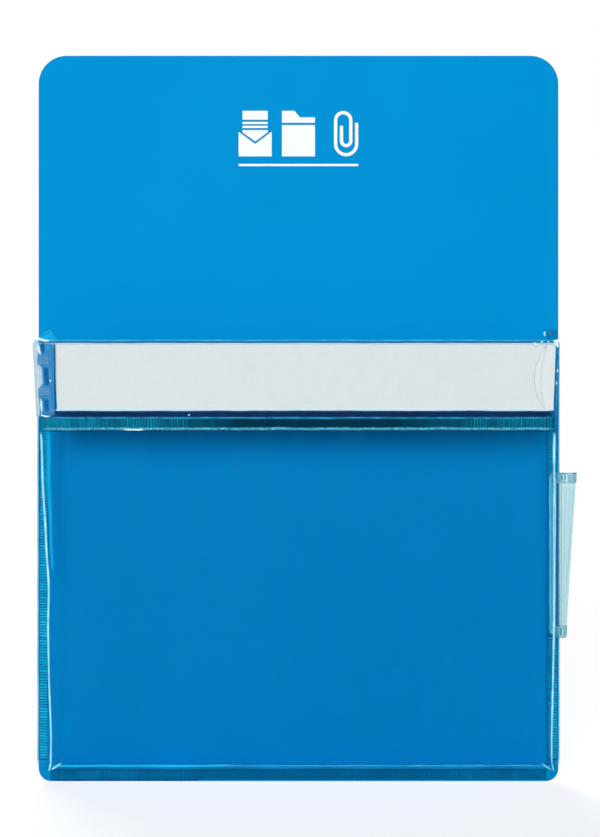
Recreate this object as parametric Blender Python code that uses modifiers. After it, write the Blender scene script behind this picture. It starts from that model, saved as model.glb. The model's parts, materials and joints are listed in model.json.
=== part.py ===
"""Magnetic document pocket for portrait A4 sheets.

A blue back sheet carries three magnetic strips behind it and a clear film pocket in front.
The pocket's front stands open between two V-folded side gussets. Its top is folded over
into a label tube that holds a slide-in card, and a tapered pen sleeve is welded on at the
right-hand seam.

The pocket hangs on a wall: X is its width, +Z is up and the magnets face +Y. The origin is
the centre of the middle strip's rear face. Values are in metres, and leans are in radians.
"""

import math

import bmesh
import bpy
from mathutils import Matrix, Vector

MM = 0.001

# Points that are closer than this are one point
SAME_POINT = 0.001 * MM

# Back sheet
SHEET_WIDTH = 240.0 * MM
SHEET_HEIGHT = 335.0 * MM
SHEET_THICKNESS = 1.0 * MM
TOP_CORNER_RADIUS = 13.0 * MM
FOOT_CORNER_RADIUS = 6.0 * MM
CORNER_STEPS = 8

# Magnetic strips, and the double-sided tape that holds each one
MAGNET_LENGTH = 200.0 * MM
MAGNET_HEIGHT = 25.0 * MM
MAGNET_THICKNESS = 1.5 * MM
MAGNET_INSET = 20.0 * MM
TAPE_THICKNESS = 0.15 * MM
TAPE_MARGIN = 1.0 * MM

# Between two pieces that are taped, welded or laid together
SEAT_GAP = 0.1 * MM

# Clear film, and the ribbed welds that the welding bars leave in it
FILM = 0.3 * MM
WELD_MARGIN = 0.5 * MM
WELD_WIDTH = 4.0 * MM
FOOT_WELD_MARGIN = 0.9 * MM
FOOT_WELD_WIDTH = 5.1 * MM
SIDE_WELD_HEIGHT = 200.0 * MM
SIDE_RIB_FOOT_INSET = 9.0 * MM
RIB_PITCH = 1.25 * MM
RIB_HEIGHT = 0.2 * MM
RIB_VALLEY = 0.03 * MM
RIB_END_INSET = 0.15 * MM
WELD_ROOT = 0.6 * MM

# Front panel: its foot stands off the sheet, and it bends forward below the label tube
PANEL_INSET = 1.2 * MM
FOOT_DEPTH = 6.0 * MM
FOOT_RISE = 3.1 * MM
LOWER_LENGTH = 147.0 * MM
UPPER_LENGTH = 47.3 * MM
LOWER_LEAN = math.radians(5.5)
UPPER_LEAN = math.radians(11.3)
BEND_LENGTH = 10.0 * MM
BEND_STEPS = 5
CREASE_GAP = 0.15 * MM

# Label tube: the film folded forward over the panel's top and welded to its front
TUBE_HEIGHT = 34.5 * MM
TUBE_TAPER = 3.0 * MM
LABEL_WELD_WIDTH = 4.6 * MM
LABEL_LIP = 1.8 * MM
LABEL_RIB_PITCH = 1.3 * MM
FOLD_STEPS = 10
NOTCH_RADIUS = 22.0 * MM
NOTCH_HALF_HEIGHT = 14.7 * MM
NOTCH_DEPTH = 9.6 * MM
NOTCH_STEPS = 20
SPOT_WELD_INSET = 0.3 * MM
SPOT_WELD_WIDTH = 4.8 * MM
SPOT_WELD_HEIGHT = 5.5 * MM
SPOT_WELD_RISES = (12.0 * MM, 26.0 * MM)

# Label card
CARD_LENGTH = 219.0 * MM
CARD_HEIGHT = 30.0 * MM
CARD_THICKNESS = 0.3 * MM
CARD_CLEARANCE = 0.3 * MM
CARD_END_INSET = 0.9 * MM

# Side gussets
GUSSET_FOOT_FOLD = 4.4 * MM
GUSSET_TOP_FOLD = 2.4 * MM
GUSSET_RISE = 1.5 * MM
GUSSET_GAP = 0.3 * MM
GUSSET_ROOT_DEPTH = 0.65
GUSSET_STEPS = 8

# Pen sleeve: how far it stands out past the sheet's side, its width and its forward bulge
SLEEVE_HEIGHT = 75.0 * MM
SLEEVE_TOP_ABOVE_FOOT = 133.5 * MM
SLEEVE_TOP_REACH = 8.0 * MM
SLEEVE_FOOT_REACH = 3.3 * MM
SLEEVE_TOP_WIDTH = 11.0 * MM
SLEEVE_FOOT_WIDTH = 5.8 * MM
SLEEVE_TOP_BULGE = 6.5 * MM
SLEEVE_FOOT_BULGE = 4.5 * MM
SLEEVE_REAR_BULGE = 0.5 * MM
SLEEVE_HEM_HEIGHT = 4.6 * MM
SLEEVE_HEM_THICKNESS = 0.2 * MM
SLEEVE_TAB_INSET = 0.1 * MM
SLEEVE_TAB_OVERLAP = 0.6 * MM
SLEEVE_SIDES = 32

# Colour in linear red, green and blue, roughness and opacity of each material
FINISHES = {
    "blue_sheet": ((0.0, 0.302, 0.701), 0.45, 1.0),
    "magnetic_rubber": ((0.025, 0.024, 0.024), 0.7, 1.0),
    "adhesive_tape": ((0.78, 0.76, 0.66), 0.6, 1.0),
    "clear_film": ((0.62, 0.84, 0.93), 0.12, 0.3),
    "card": ((0.72, 0.79, 0.79), 0.8, 1.0),
}

# Places that follow from the sizes, from the magnets forward
SHEET_REAR = -(MAGNET_THICKNESS + SEAT_GAP + TAPE_THICKNESS + SEAT_GAP)
SHEET_FRONT = SHEET_REAR - SHEET_THICKNESS
FILM_REAR = SHEET_FRONT - SEAT_GAP
FILM_FRONT = FILM_REAR - FILM
SHEET_FOOT = -SHEET_HEIGHT / 2
WELD_OUTER_X = SHEET_WIDTH / 2 - WELD_MARGIN
WELD_INNER_X = WELD_OUTER_X - WELD_WIDTH
FOOT_WELD_TOP = SHEET_FOOT + FOOT_WELD_MARGIN + FOOT_WELD_WIDTH
PANEL_WIDTH = 2 * (WELD_INNER_X - PANEL_INSET)
CREASE_Y = FILM_REAR - FOOT_DEPTH
CREASE_Z = FOOT_WELD_TOP + FOOT_RISE
PANEL_LENGTH = LOWER_LENGTH + UPPER_LENGTH
TUBE_FOOT = PANEL_LENGTH - TUBE_HEIGHT
TUBE_GAP = CARD_THICKNESS + 2 * CARD_CLEARANCE
SIDE_WELD_TOP = CREASE_Z + SIDE_WELD_HEIGHT
SLEEVE_TOP = CREASE_Z + SLEEVE_TOP_ABOVE_FOOT
SLEEVE_REAR = FILM_FRONT - RIB_HEIGHT - SEAT_GAP

AXIS_X = Vector((1, 0, 0))
AXIS_Y = Vector((0, 1, 0))
AXIS_Z = Vector((0, 0, 1))


def clear_scene():
    """Removes every object that is in the scene."""
    for obj in list(bpy.data.objects):
        bpy.data.objects.remove(obj, do_unlink=True)


def new_collection(name):
    collection = bpy.data.collections.new(name)
    bpy.context.scene.collection.children.link(collection)
    return collection


def give(name, *objects):
    """Makes the Principled material of that name and puts it on the objects."""
    color, roughness, opacity = FINISHES[name]
    made = bpy.data.materials.new(name)
    made.use_nodes = True
    made.diffuse_color = (*color, opacity)
    shader = made.node_tree.nodes["Principled BSDF"]
    shader.inputs["Base Color"].default_value = (*color, 1.0)
    shader.inputs["Roughness"].default_value = roughness
    shader.inputs["Metallic"].default_value = 0.0
    shader.inputs["Alpha"].default_value = opacity
    for obj in objects:
        obj.data.materials.clear()
        obj.data.materials.append(made)


def frame(origin, u, v):
    """The matrix of a frame with its first two axes along u and v."""
    matrix = Matrix((u, v, u.cross(v))).transposed().to_4x4()
    matrix.translation = origin
    return matrix


def outline_solid(name, outlines, depth, origin, u, v, collection):
    """A flat outline in the plane of u and v, with any holes in it, given a depth."""
    curve = bpy.data.curves.new(name, "CURVE")
    curve.dimensions = "2D"
    curve.fill_mode = "BOTH"
    curve.extrude = depth / 2
    for outline in outlines:
        spline = curve.splines.new("POLY")
        spline.points.add(len(outline) - 1)
        for point, (along_u, along_v) in zip(spline.points, outline):
            point.co = (along_u, along_v, 0, 1)
        spline.use_cyclic_u = True
    obj = bpy.data.objects.new(name, curve)
    obj.matrix_world = frame(origin, u, v)
    collection.objects.link(obj)
    return obj


def as_mesh(obj):
    """Puts a mesh object with welded caps in the place of a curve object."""
    bpy.context.view_layer.update()
    graph = bpy.context.evaluated_depsgraph_get()
    mesh = bpy.data.meshes.new_from_object(obj.evaluated_get(graph))
    solid = bmesh.new()
    solid.from_mesh(mesh)
    bmesh.ops.remove_doubles(solid, verts=solid.verts, dist=SAME_POINT)
    bmesh.ops.recalc_face_normals(solid, faces=solid.faces)
    solid.to_mesh(mesh)
    solid.free()
    name = obj.name
    made = bpy.data.objects.new(name, mesh)
    made.matrix_world = obj.matrix_world.copy()
    obj.users_collection[0].objects.link(made)
    bpy.data.objects.remove(obj, do_unlink=True)
    made.name = name
    return made


def loft(name, rings, collection):
    """A closed solid through rings of equal counts of points, in world coordinates."""
    solid = bmesh.new()
    loops = [[solid.verts.new(point) for point in ring] for ring in rings]
    count = len(rings[0])
    for lower, upper in zip(loops, loops[1:]):
        for i in range(count):
            j = (i + 1) % count
            solid.faces.new((lower[i], lower[j], upper[j], upper[i]))
    solid.faces.new(loops[0])
    solid.faces.new(loops[-1])
    bmesh.ops.recalc_face_normals(solid, faces=solid.faces)
    mesh = bpy.data.meshes.new(name)
    solid.to_mesh(mesh)
    solid.free()
    obj = bpy.data.objects.new(name, mesh)
    collection.objects.link(obj)
    return obj


def as_helper(obj):
    """Keeps a cutter, or a shape that is joined to another, out of the model itself."""
    obj.hide_render = True
    obj.display_type = "WIRE"
    return obj


def boolean(obj, other, operation):
    modifier = obj.modifiers.new(other.name, "BOOLEAN")
    modifier.operation = operation
    modifier.object = other


def put_origin(obj, origin):
    """Moves a mesh object's origin and leaves its shape where it is."""
    shift = obj.matrix_world.inverted() @ Vector(origin)
    obj.data.transform(Matrix.Translation(-shift))
    obj.matrix_world.translation = Vector(origin)


def arc(center, radius, start, end, steps):
    """Points along an arc from one angle to another, both ends included."""
    points = []
    for i in range(steps + 1):
        angle = start + (end - start) * i / steps
        points.append((center[0] + radius * math.cos(angle), center[1] + radius * math.sin(angle)))
    return points


def rounded_outline(width, height, top_radius, foot_radius):
    """A rectangle's outline about its centre, with its corners rounded."""
    x = width / 2
    z = height / 2
    quarter = math.pi / 2
    corners = (
        (x - top_radius, z - top_radius, top_radius),
        (-x + top_radius, z - top_radius, top_radius),
        (-x + foot_radius, -z + foot_radius, foot_radius),
        (x - foot_radius, -z + foot_radius, foot_radius),
    )
    points = []
    for i, (center_x, center_z, radius) in enumerate(corners):
        points += arc((center_x, center_z), radius, i * quarter, (i + 1) * quarter, CORNER_STEPS)
    return points


def rectangle(left, right, foot, top):
    return [(left, foot), (right, foot), (right, top), (left, top)]


def plate(name, length, height, thickness, center, collection):
    """A rectangular plate that lies flat to the wall, about its centre."""
    outline = rectangle(-length / 2, length / 2, -height / 2, height / 2)
    return outline_solid(name, [outline], thickness, center, AXIS_X, AXIS_Z, collection)


def between(foot_value, top_value, share):
    return foot_value + share * (top_value - foot_value)


def rib_strip(name, length, width, pitch, center, run, out, helpers):
    """A row of ribs along run, set half into a film whose front face holds the center."""
    inner_length = length - 2 * RIB_END_INSET
    count = int(inner_length / pitch)
    start = (inner_length - count * pitch) / 2
    root = -FILM / 2
    points = [(inner_length, root), (0, root), (0, RIB_VALLEY)]
    for i in range(count):
        points.append((start + (i + 0.5) * pitch, RIB_HEIGHT))
        points.append((start + (i + 1) * pitch, RIB_VALLEY))
    if inner_length - points[-1][0] > SAME_POINT:
        points.append((inner_length, RIB_VALLEY))
    origin = center - run * (inner_length / 2)
    strip = outline_solid(
        name, [points], width - 2 * RIB_END_INSET, origin, run, out, helpers
    )
    return as_helper(as_mesh(strip))


def panel_lean(along):
    """The front panel's lean from the vertical at a distance up from its foot crease."""
    share = (along - LOWER_LENGTH) / BEND_LENGTH + 0.5
    return LOWER_LEAN + (UPPER_LEAN - LOWER_LEAN) * min(max(share, 0.0), 1.0)


def panel_point(along, out=0.0):
    """The (y, z) of a point up the panel from its foot crease and out in front of its rear face."""
    bend_start = LOWER_LENGTH - BEND_LENGTH / 2
    bend_radius = BEND_LENGTH / (UPPER_LEAN - LOWER_LEAN)
    lean = panel_lean(along)
    straight = min(along, bend_start)
    y = CREASE_Y - straight * math.sin(LOWER_LEAN)
    z = CREASE_Z + straight * math.cos(LOWER_LEAN)
    y -= bend_radius * (math.cos(LOWER_LEAN) - math.cos(lean))
    z += bend_radius * (math.sin(lean) - math.sin(LOWER_LEAN))
    beyond = max(along - bend_start - BEND_LENGTH, 0.0)
    y -= beyond * math.sin(UPPER_LEAN)
    z += beyond * math.cos(UPPER_LEAN)
    return (y - out * math.cos(lean), z - out * math.sin(lean))


def bend_stations():
    """The distances up the panel at which its side view needs a point in the bend."""
    start = LOWER_LENGTH - BEND_LENGTH / 2
    return [start + BEND_LENGTH * i / BEND_STEPS for i in range(BEND_STEPS + 1)]


def panel_axes():
    """The directions up the panel and out of it, in the label tube above the bend."""
    up = Vector((0, -math.sin(UPPER_LEAN), math.cos(UPPER_LEAN)))
    out = Vector((0, -math.cos(UPPER_LEAN), -math.sin(UPPER_LEAN)))
    return up, out


def label_origin(out):
    """The point from which distances up the panel are laid off, in the label tube's plane."""
    up, out_axis = panel_axes()
    y, z = panel_point(PANEL_LENGTH)
    return Vector((0, y, z)) - up * PANEL_LENGTH + out_axis * out


def make_back_sheet(collection):
    outline = rounded_outline(SHEET_WIDTH, SHEET_HEIGHT, TOP_CORNER_RADIUS, FOOT_CORNER_RADIUS)
    center = Vector((0, (SHEET_REAR + SHEET_FRONT) / 2, 0))
    return outline_solid(
        "back_sheet", [outline], SHEET_THICKNESS, center, AXIS_X, AXIS_Z, collection
    )


def make_magnets_and_tapes(collection):
    """The three magnetic strips, and the tape that holds each one to the sheet."""
    rise = SHEET_HEIGHT / 2 - MAGNET_INSET - MAGNET_HEIGHT / 2
    tape_length = MAGNET_LENGTH - 2 * TAPE_MARGIN
    tape_height = MAGNET_HEIGHT - 2 * TAPE_MARGIN
    magnets = []
    tapes = []
    for place, z in (("top", rise), ("middle", 0.0), ("bottom", -rise)):
        name = "magnet_strip_" + place
        center = Vector((0, -MAGNET_THICKNESS / 2, z))
        magnets.append(plate(name, MAGNET_LENGTH, MAGNET_HEIGHT, MAGNET_THICKNESS, center, collection))
        name = "adhesive_tape_" + place
        center = Vector((0, SHEET_REAR + SEAT_GAP + TAPE_THICKNESS / 2, z))
        tapes.append(plate(name, tape_length, tape_height, TAPE_THICKNESS, center, collection))
    return magnets, tapes


def make_bottom_gusset(collection, helpers):
    """The film that is welded to the sheet's foot and runs out to the panel's foot crease."""
    rise = math.atan2(FOOT_RISE, FOOT_DEPTH)
    reach = FOOT_DEPTH - CREASE_GAP
    tip_z = FOOT_WELD_TOP + reach * math.tan(rise)
    under_z = FOOT_WELD_TOP - FILM / math.cos(rise)
    section = [
        (FILM_REAR, FOOT_WELD_TOP),
        (FILM_REAR - reach, tip_z),
        (FILM_REAR - reach + FILM * math.sin(rise), tip_z - FILM * math.cos(rise)),
        (FILM_FRONT, under_z + FILM * math.tan(rise)),
        (FILM_FRONT, FOOT_WELD_TOP - FOOT_WELD_WIDTH),
        (FILM_REAR, FOOT_WELD_TOP - FOOT_WELD_WIDTH),
    ]
    side_view = outline_solid(
        "bottom_gusset", [section], PANEL_WIDTH, Vector(), AXIS_Y, AXIS_Z, collection
    )
    gusset = as_mesh(side_view)
    rib_width = under_z - FOOT_WELD_TOP + FOOT_WELD_WIDTH
    center = Vector((0, FILM_FRONT, under_z - rib_width / 2))
    ribs = rib_strip(
        "foot_weld_ribs", PANEL_WIDTH, rib_width, RIB_PITCH, center, AXIS_X, -AXIS_Y, helpers
    )
    boolean(gusset, ribs, "UNION")
    return gusset


def gusset_section(share, side):
    """The V of a side gusset at a share of its height: weld edge, inner fold and front edge."""
    along = GUSSET_GAP + share * (PANEL_LENGTH + GUSSET_RISE - GUSSET_GAP)
    front_y, front_z = panel_point(along, -GUSSET_GAP)
    rear_z = between(FOOT_WELD_TOP + 2 * GUSSET_GAP, SIDE_WELD_TOP, share)
    rear_y = FILM_REAR - GUSSET_ROOT_DEPTH * FILM
    fold = between(GUSSET_FOOT_FOLD, GUSSET_TOP_FOLD, share)
    front_x = PANEL_WIDTH / 2 - FILM
    fold_lift = 2 * GUSSET_GAP
    return [
        Vector((side * (WELD_INNER_X - WELD_ROOT / 2), rear_y, rear_z)),
        Vector((side * (front_x - fold), (rear_y + front_y) / 2, (rear_z + front_z) / 2 + fold_lift)),
        Vector((side * front_x, front_y, front_z)),
    ]


def make_side_gusset(name, side, collection, helpers):
    """A ribbed weld up the sheet's side, and the V of film between it and the front panel."""
    panel_stations = bend_stations()
    gusset_length = PANEL_LENGTH + GUSSET_RISE - GUSSET_GAP
    shares = [(along - GUSSET_GAP) / gusset_length for along in panel_stations]
    shares += [i / GUSSET_STEPS for i in range(GUSSET_STEPS + 1)]
    film = bmesh.new()
    rows = []
    for share in sorted(shares):
        rows.append([film.verts.new(point) for point in gusset_section(share, side)])
    for lower, upper in zip(rows, rows[1:]):
        for i in range(len(lower) - 1):
            film.faces.new((lower[i], lower[i + 1], upper[i + 1], upper[i]))
    mesh = bpy.data.meshes.new(name)
    film.to_mesh(mesh)
    film.free()
    gusset = bpy.data.objects.new(name, mesh)
    collection.objects.link(gusset)
    solidify = gusset.modifiers.new("film", "SOLIDIFY")
    solidify.thickness = FILM
    solidify.offset = 0
    solidify.use_even_offset = True
    foot = FOOT_WELD_TOP
    outline = rectangle(WELD_INNER_X - WELD_ROOT, WELD_OUTER_X, foot, SIDE_WELD_TOP)
    flange = outline_solid(
        name + "_flange",
        [[(side * x, z) for x, z in outline]],
        FILM,
        Vector((0, (FILM_REAR + FILM_FRONT) / 2, 0)),
        AXIS_X,
        AXIS_Z,
        helpers,
    )
    boolean(gusset, as_helper(as_mesh(flange)), "UNION")
    center_x = side * (WELD_INNER_X + WELD_WIDTH / 2)
    rib_foot = foot + SIDE_RIB_FOOT_INSET
    center = Vector((center_x, FILM_FRONT, (rib_foot + SIDE_WELD_TOP) / 2))
    length = SIDE_WELD_TOP - rib_foot
    ribs = rib_strip(
        name + "_ribs", length, WELD_WIDTH, RIB_PITCH, center, AXIS_Z, -AXIS_Y, helpers
    )
    boolean(gusset, ribs, "UNION")
    return gusset


def panel_outlines():
    """The panel's side view and the label tube's hollow in it, from the foot crease."""
    tube_out = FILM + TUBE_GAP
    fold_radius = (2 * FILM + TUBE_GAP) / 2
    fold_along = PANEL_LENGTH - fold_radius
    weld_foot = TUBE_FOOT - LABEL_WELD_WIDTH
    rear = [(CREASE_GAP, 0.0)] + [(along, 0.0) for along in bend_stations()]
    half_turn = [math.pi * i / FOLD_STEPS for i in range(FOLD_STEPS + 1)]
    fold = []
    hollow_fold = []
    for angle in half_turn:
        up = math.sin(angle)
        across = math.cos(angle)
        fold.append((fold_along + fold_radius * up, fold_radius - fold_radius * across))
        inner = fold_radius - FILM
        hollow_fold.append((fold_along + inner * up, fold_radius - inner * across))
    front = [
        (TUBE_FOOT + TUBE_TAPER, tube_out + FILM),
        (TUBE_FOOT, 2 * FILM),
        (weld_foot - LABEL_LIP, 2 * FILM),
        (weld_foot - LABEL_LIP, FILM),
    ]
    front += [(along, FILM) for along in reversed(bend_stations())]
    front.append((CREASE_GAP, FILM))
    outer = [panel_point(along, out) for along, out in rear + fold + front]
    hollow = [(TUBE_FOOT, FILM)] + hollow_fold + [(TUBE_FOOT + TUBE_TAPER, tube_out)]
    return outer, [panel_point(along, out) for along, out in hollow]


def notch_outline():
    """The thumb notch in the tube's right end: an arc that runs out straight to the side."""
    middle = TUBE_FOOT + TUBE_TAPER + CARD_CLEARANCE + CARD_HEIGHT / 2
    reach = math.asin(NOTCH_HALF_HEIGHT / NOTCH_RADIUS)
    center = (PANEL_WIDTH / 2 - NOTCH_DEPTH + NOTCH_RADIUS, middle)
    points = arc(center, NOTCH_RADIUS, math.pi - reach, math.pi + reach, NOTCH_STEPS)
    end = PANEL_WIDTH / 2 + NOTCH_DEPTH
    points.append((end, middle - NOTCH_HALF_HEIGHT))
    points.append((end, middle + NOTCH_HALF_HEIGHT))
    return points


def make_front_panel(collection, helpers):
    """The pocket's front: one film up from the foot crease, folded over into the label tube."""
    crease = Vector((0, CREASE_Y, CREASE_Z))
    side_view = outline_solid(
        "front_panel", panel_outlines(), PANEL_WIDTH, Vector(), AXIS_Y, AXIS_Z, collection
    )
    panel = as_mesh(side_view)
    up, out = panel_axes()

    tube_out = FILM + TUBE_GAP
    notch_origin = label_origin(tube_out + FILM / 2)
    # Half of this depth lies behind the front film's middle, so the rear film stays whole
    cut_depth = 2 * TUBE_GAP
    notch = outline_solid(
        "thumb_notch_cutter", [notch_outline()], cut_depth, notch_origin, AXIS_X, up, helpers
    )
    boolean(panel, as_helper(as_mesh(notch)), "DIFFERENCE")

    weld_left = -PANEL_WIDTH / 2 + SPOT_WELD_INSET
    for number, rise in enumerate(SPOT_WELD_RISES, start=1):
        foot = TUBE_FOOT + rise - SPOT_WELD_HEIGHT / 2
        outline = rectangle(weld_left, weld_left + SPOT_WELD_WIDTH, foot, foot + SPOT_WELD_HEIGHT)
        spot = outline_solid(
            "spot_weld_%d" % number,
            [outline],
            TUBE_GAP + FILM,
            label_origin(FILM + TUBE_GAP / 2),
            AXIS_X,
            up,
            helpers,
        )
        boolean(panel, as_helper(as_mesh(spot)), "UNION")

    center = label_origin(2 * FILM) + up * (TUBE_FOOT - LABEL_WELD_WIDTH / 2)
    ribs = rib_strip(
        "label_weld_ribs", PANEL_WIDTH, LABEL_WELD_WIDTH, LABEL_RIB_PITCH, center, AXIS_X, out, helpers
    )
    boolean(panel, ribs, "UNION")
    put_origin(panel, crease)
    return panel


def make_label_card(collection):
    up, _ = panel_axes()
    right = PANEL_WIDTH / 2 - CARD_END_INSET
    foot = TUBE_FOOT + TUBE_TAPER + CARD_CLEARANCE
    center = label_origin(FILM + TUBE_GAP / 2)
    center += up * (foot + CARD_HEIGHT / 2) + AXIS_X * (right - CARD_LENGTH / 2)
    outline = rectangle(-CARD_LENGTH / 2, CARD_LENGTH / 2, -CARD_HEIGHT / 2, CARD_HEIGHT / 2)
    return outline_solid("label_card", [outline], CARD_THICKNESS, center, AXIS_X, up, collection)


def sleeve_ring(share, growth):
    """The sleeve's section at a share of its height from the foot, grown all round."""
    width = between(SLEEVE_FOOT_WIDTH, SLEEVE_TOP_WIDTH, share)
    reach = between(SLEEVE_FOOT_REACH, SLEEVE_TOP_REACH, share)
    front_bulge = between(SLEEVE_FOOT_BULGE, SLEEVE_TOP_BULGE, share)
    center_x = SHEET_WIDTH / 2 + reach - width / 2
    center_y = SLEEVE_REAR - SLEEVE_REAR_BULGE
    z = SLEEVE_TOP - SLEEVE_HEIGHT * (1 - share)
    points = []
    for i in range(SLEEVE_SIDES):
        angle = 2 * math.pi * i / SLEEVE_SIDES
        x = center_x + (width / 2 + growth) * math.cos(angle)
        if math.sin(angle) > 0:
            y = center_y - (front_bulge + growth) * math.sin(angle)
        else:
            y = center_y - (SLEEVE_REAR_BULGE + min(growth, 0.0)) * math.sin(angle)
        points.append((x, y, z))
    return points


def make_pen_sleeve(collection, helpers):
    """A loop of film that narrows downwards, hemmed at both ends, with its welded edge."""
    hem = SLEEVE_HEM_HEIGHT / SLEEVE_HEIGHT
    step = hem + SLEEVE_HEM_THICKNESS / SLEEVE_HEIGHT
    stations = (
        (0.0, SLEEVE_HEM_THICKNESS),
        (hem, SLEEVE_HEM_THICKNESS),
        (step, 0.0),
        (1 - step, 0.0),
        (1 - hem, SLEEVE_HEM_THICKNESS),
        (1.0, SLEEVE_HEM_THICKNESS),
    )
    rings = [sleeve_ring(share, growth) for share, growth in stations]
    sleeve = loft("pen_sleeve", rings, collection)
    overrun = FILM / SLEEVE_HEIGHT
    bore_rings = [sleeve_ring(share, -FILM) for share in (-overrun, 1 + overrun)]
    bore = as_helper(loft("sleeve_bore_cutter", bore_rings, helpers))

    foot = SLEEVE_TOP - SLEEVE_HEIGHT
    tab_left = WELD_INNER_X + SLEEVE_TAB_INSET
    tab_right = SHEET_WIDTH / 2 + SLEEVE_TAB_OVERLAP
    tab_outline = [
        (tab_left, foot),
        (tab_right + SLEEVE_FOOT_REACH - SLEEVE_FOOT_WIDTH, foot),
        (tab_right + SLEEVE_TOP_REACH - SLEEVE_TOP_WIDTH, SLEEVE_TOP),
        (tab_left, SLEEVE_TOP),
    ]
    tab_y = SLEEVE_REAR - SLEEVE_REAR_BULGE
    tab = outline_solid(
        "sleeve_tab", [tab_outline], FILM, Vector((0, tab_y, 0)), AXIS_X, AXIS_Z, helpers
    )
    boolean(sleeve, as_helper(as_mesh(tab)), "UNION")
    boolean(sleeve, bore, "DIFFERENCE")
    for polygon in sleeve.data.polygons:
        polygon.use_smooth = len(polygon.vertices) == 4
    return sleeve


def main():
    clear_scene()
    parts = new_collection("magnetic_document_pocket")
    helpers = new_collection("cutters_and_joined_shapes")

    back_sheet = make_back_sheet(parts)
    magnets, tapes = make_magnets_and_tapes(parts)
    bottom_gusset = make_bottom_gusset(parts, helpers)
    gussets = [
        make_side_gusset("side_gusset_left", -1, parts, helpers),
        make_side_gusset("side_gusset_right", 1, parts, helpers),
    ]
    front_panel = make_front_panel(parts, helpers)
    label_card = make_label_card(parts)
    pen_sleeve = make_pen_sleeve(parts, helpers)

    give("blue_sheet", back_sheet)
    give("magnetic_rubber", *magnets)
    give("adhesive_tape", *tapes)
    give("clear_film", front_panel, bottom_gusset, *gussets, pen_sleeve)
    give("card", label_card)


main()
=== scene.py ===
"""Looks of a magnetic document pocket: a blue sheet with a clear welded film pocket on it.

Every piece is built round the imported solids, in metres. X runs to the right as seen from the
front, +Z up the sheet and +Y back towards the wall that the magnets cling to.
"""

import json
import logging
import math
import random
from dataclasses import dataclass, field
from enum import Enum
from typing import Callable, Optional, Sequence, Union

import bmesh
import bpy
from bpy.types import Material, Node, NodeSocket, NodeTree, Object
from mathutils import Matrix, Vector
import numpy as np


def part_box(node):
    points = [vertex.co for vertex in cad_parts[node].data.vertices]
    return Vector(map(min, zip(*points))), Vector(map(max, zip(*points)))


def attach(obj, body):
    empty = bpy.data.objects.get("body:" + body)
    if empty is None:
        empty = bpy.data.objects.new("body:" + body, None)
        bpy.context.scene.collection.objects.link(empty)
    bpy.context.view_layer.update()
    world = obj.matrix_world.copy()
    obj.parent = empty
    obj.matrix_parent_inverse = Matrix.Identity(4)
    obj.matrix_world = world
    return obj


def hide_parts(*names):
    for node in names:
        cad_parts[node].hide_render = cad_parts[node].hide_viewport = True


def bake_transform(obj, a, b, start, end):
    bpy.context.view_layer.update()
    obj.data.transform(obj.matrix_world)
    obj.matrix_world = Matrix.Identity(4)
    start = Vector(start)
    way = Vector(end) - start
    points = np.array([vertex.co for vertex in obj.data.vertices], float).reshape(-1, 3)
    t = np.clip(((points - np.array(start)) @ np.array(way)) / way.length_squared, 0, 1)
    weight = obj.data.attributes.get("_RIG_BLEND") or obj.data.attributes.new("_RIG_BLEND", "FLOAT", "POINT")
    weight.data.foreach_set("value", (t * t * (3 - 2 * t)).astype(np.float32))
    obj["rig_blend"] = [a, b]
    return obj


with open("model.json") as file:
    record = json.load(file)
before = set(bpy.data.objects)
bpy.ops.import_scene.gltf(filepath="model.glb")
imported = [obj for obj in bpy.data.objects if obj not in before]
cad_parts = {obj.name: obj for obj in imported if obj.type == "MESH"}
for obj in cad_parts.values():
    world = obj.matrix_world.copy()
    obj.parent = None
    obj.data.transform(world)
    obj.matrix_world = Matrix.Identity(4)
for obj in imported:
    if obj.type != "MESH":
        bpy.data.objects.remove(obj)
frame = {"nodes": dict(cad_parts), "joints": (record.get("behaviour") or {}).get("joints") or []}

MM = 0.001
AXIS_X = Vector((1.0, 0.0, 0.0))
AXIS_Y = Vector((0.0, 1.0, 0.0))
AXIS_Z = Vector((0.0, 0.0, 1.0))

# The attribute that keeps how high each point of a rib or a fold stands.
RIDGE = "ridge"
MERGE_DISTANCE = 0.001 * MM
RIB_MARGIN = 0.4 * MM
LOWEST_RIB = 0.55
RIBBON_THICKNESS = 0.05 * MM

Pair = tuple[float, float]
Row = Sequence[Vector]
Outline = Sequence[Pair]

# What may feed a node's input: another node by its first output, a socket, or a value.
Source = Union[Node, NodeSocket, float, tuple, Vector]

log = logging.getLogger("document_pocket")


class Side(Enum):
    """The two sides of the pocket, as seen from the front."""

    LEFT = -1
    RIGHT = 1

    @property
    def word(self) -> str:
        """The side as the pieces' names have it."""
        return self.name.lower()


# Modelling steps that every sub-assembly shares


def deselect() -> None:
    """Leaves edit mode and selects nothing."""
    if bpy.context.mode != "OBJECT":
        bpy.ops.object.mode_set(mode="OBJECT")
    bpy.ops.object.select_all(action="DESELECT")


def activate(obj: Object) -> None:
    """Makes obj the only selected object and the active one.

    Args:
        obj: the object.
    """
    deselect()
    obj.select_set(True)
    bpy.context.view_layer.objects.active = obj


def fresh(name: str) -> Object:
    """Names the primitive that was just added.

    Args:
        name: the piece's name.

    Returns:
        The new object.
    """
    obj = bpy.context.object
    obj.name = name
    obj.data.name = name
    return obj


def edit(obj: Object) -> None:
    """Enters edit mode on obj with nothing in it selected.

    Args:
        obj: the object.
    """
    activate(obj)
    bpy.ops.object.mode_set(mode="EDIT")
    bpy.ops.mesh.select_all(action="DESELECT")


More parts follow.
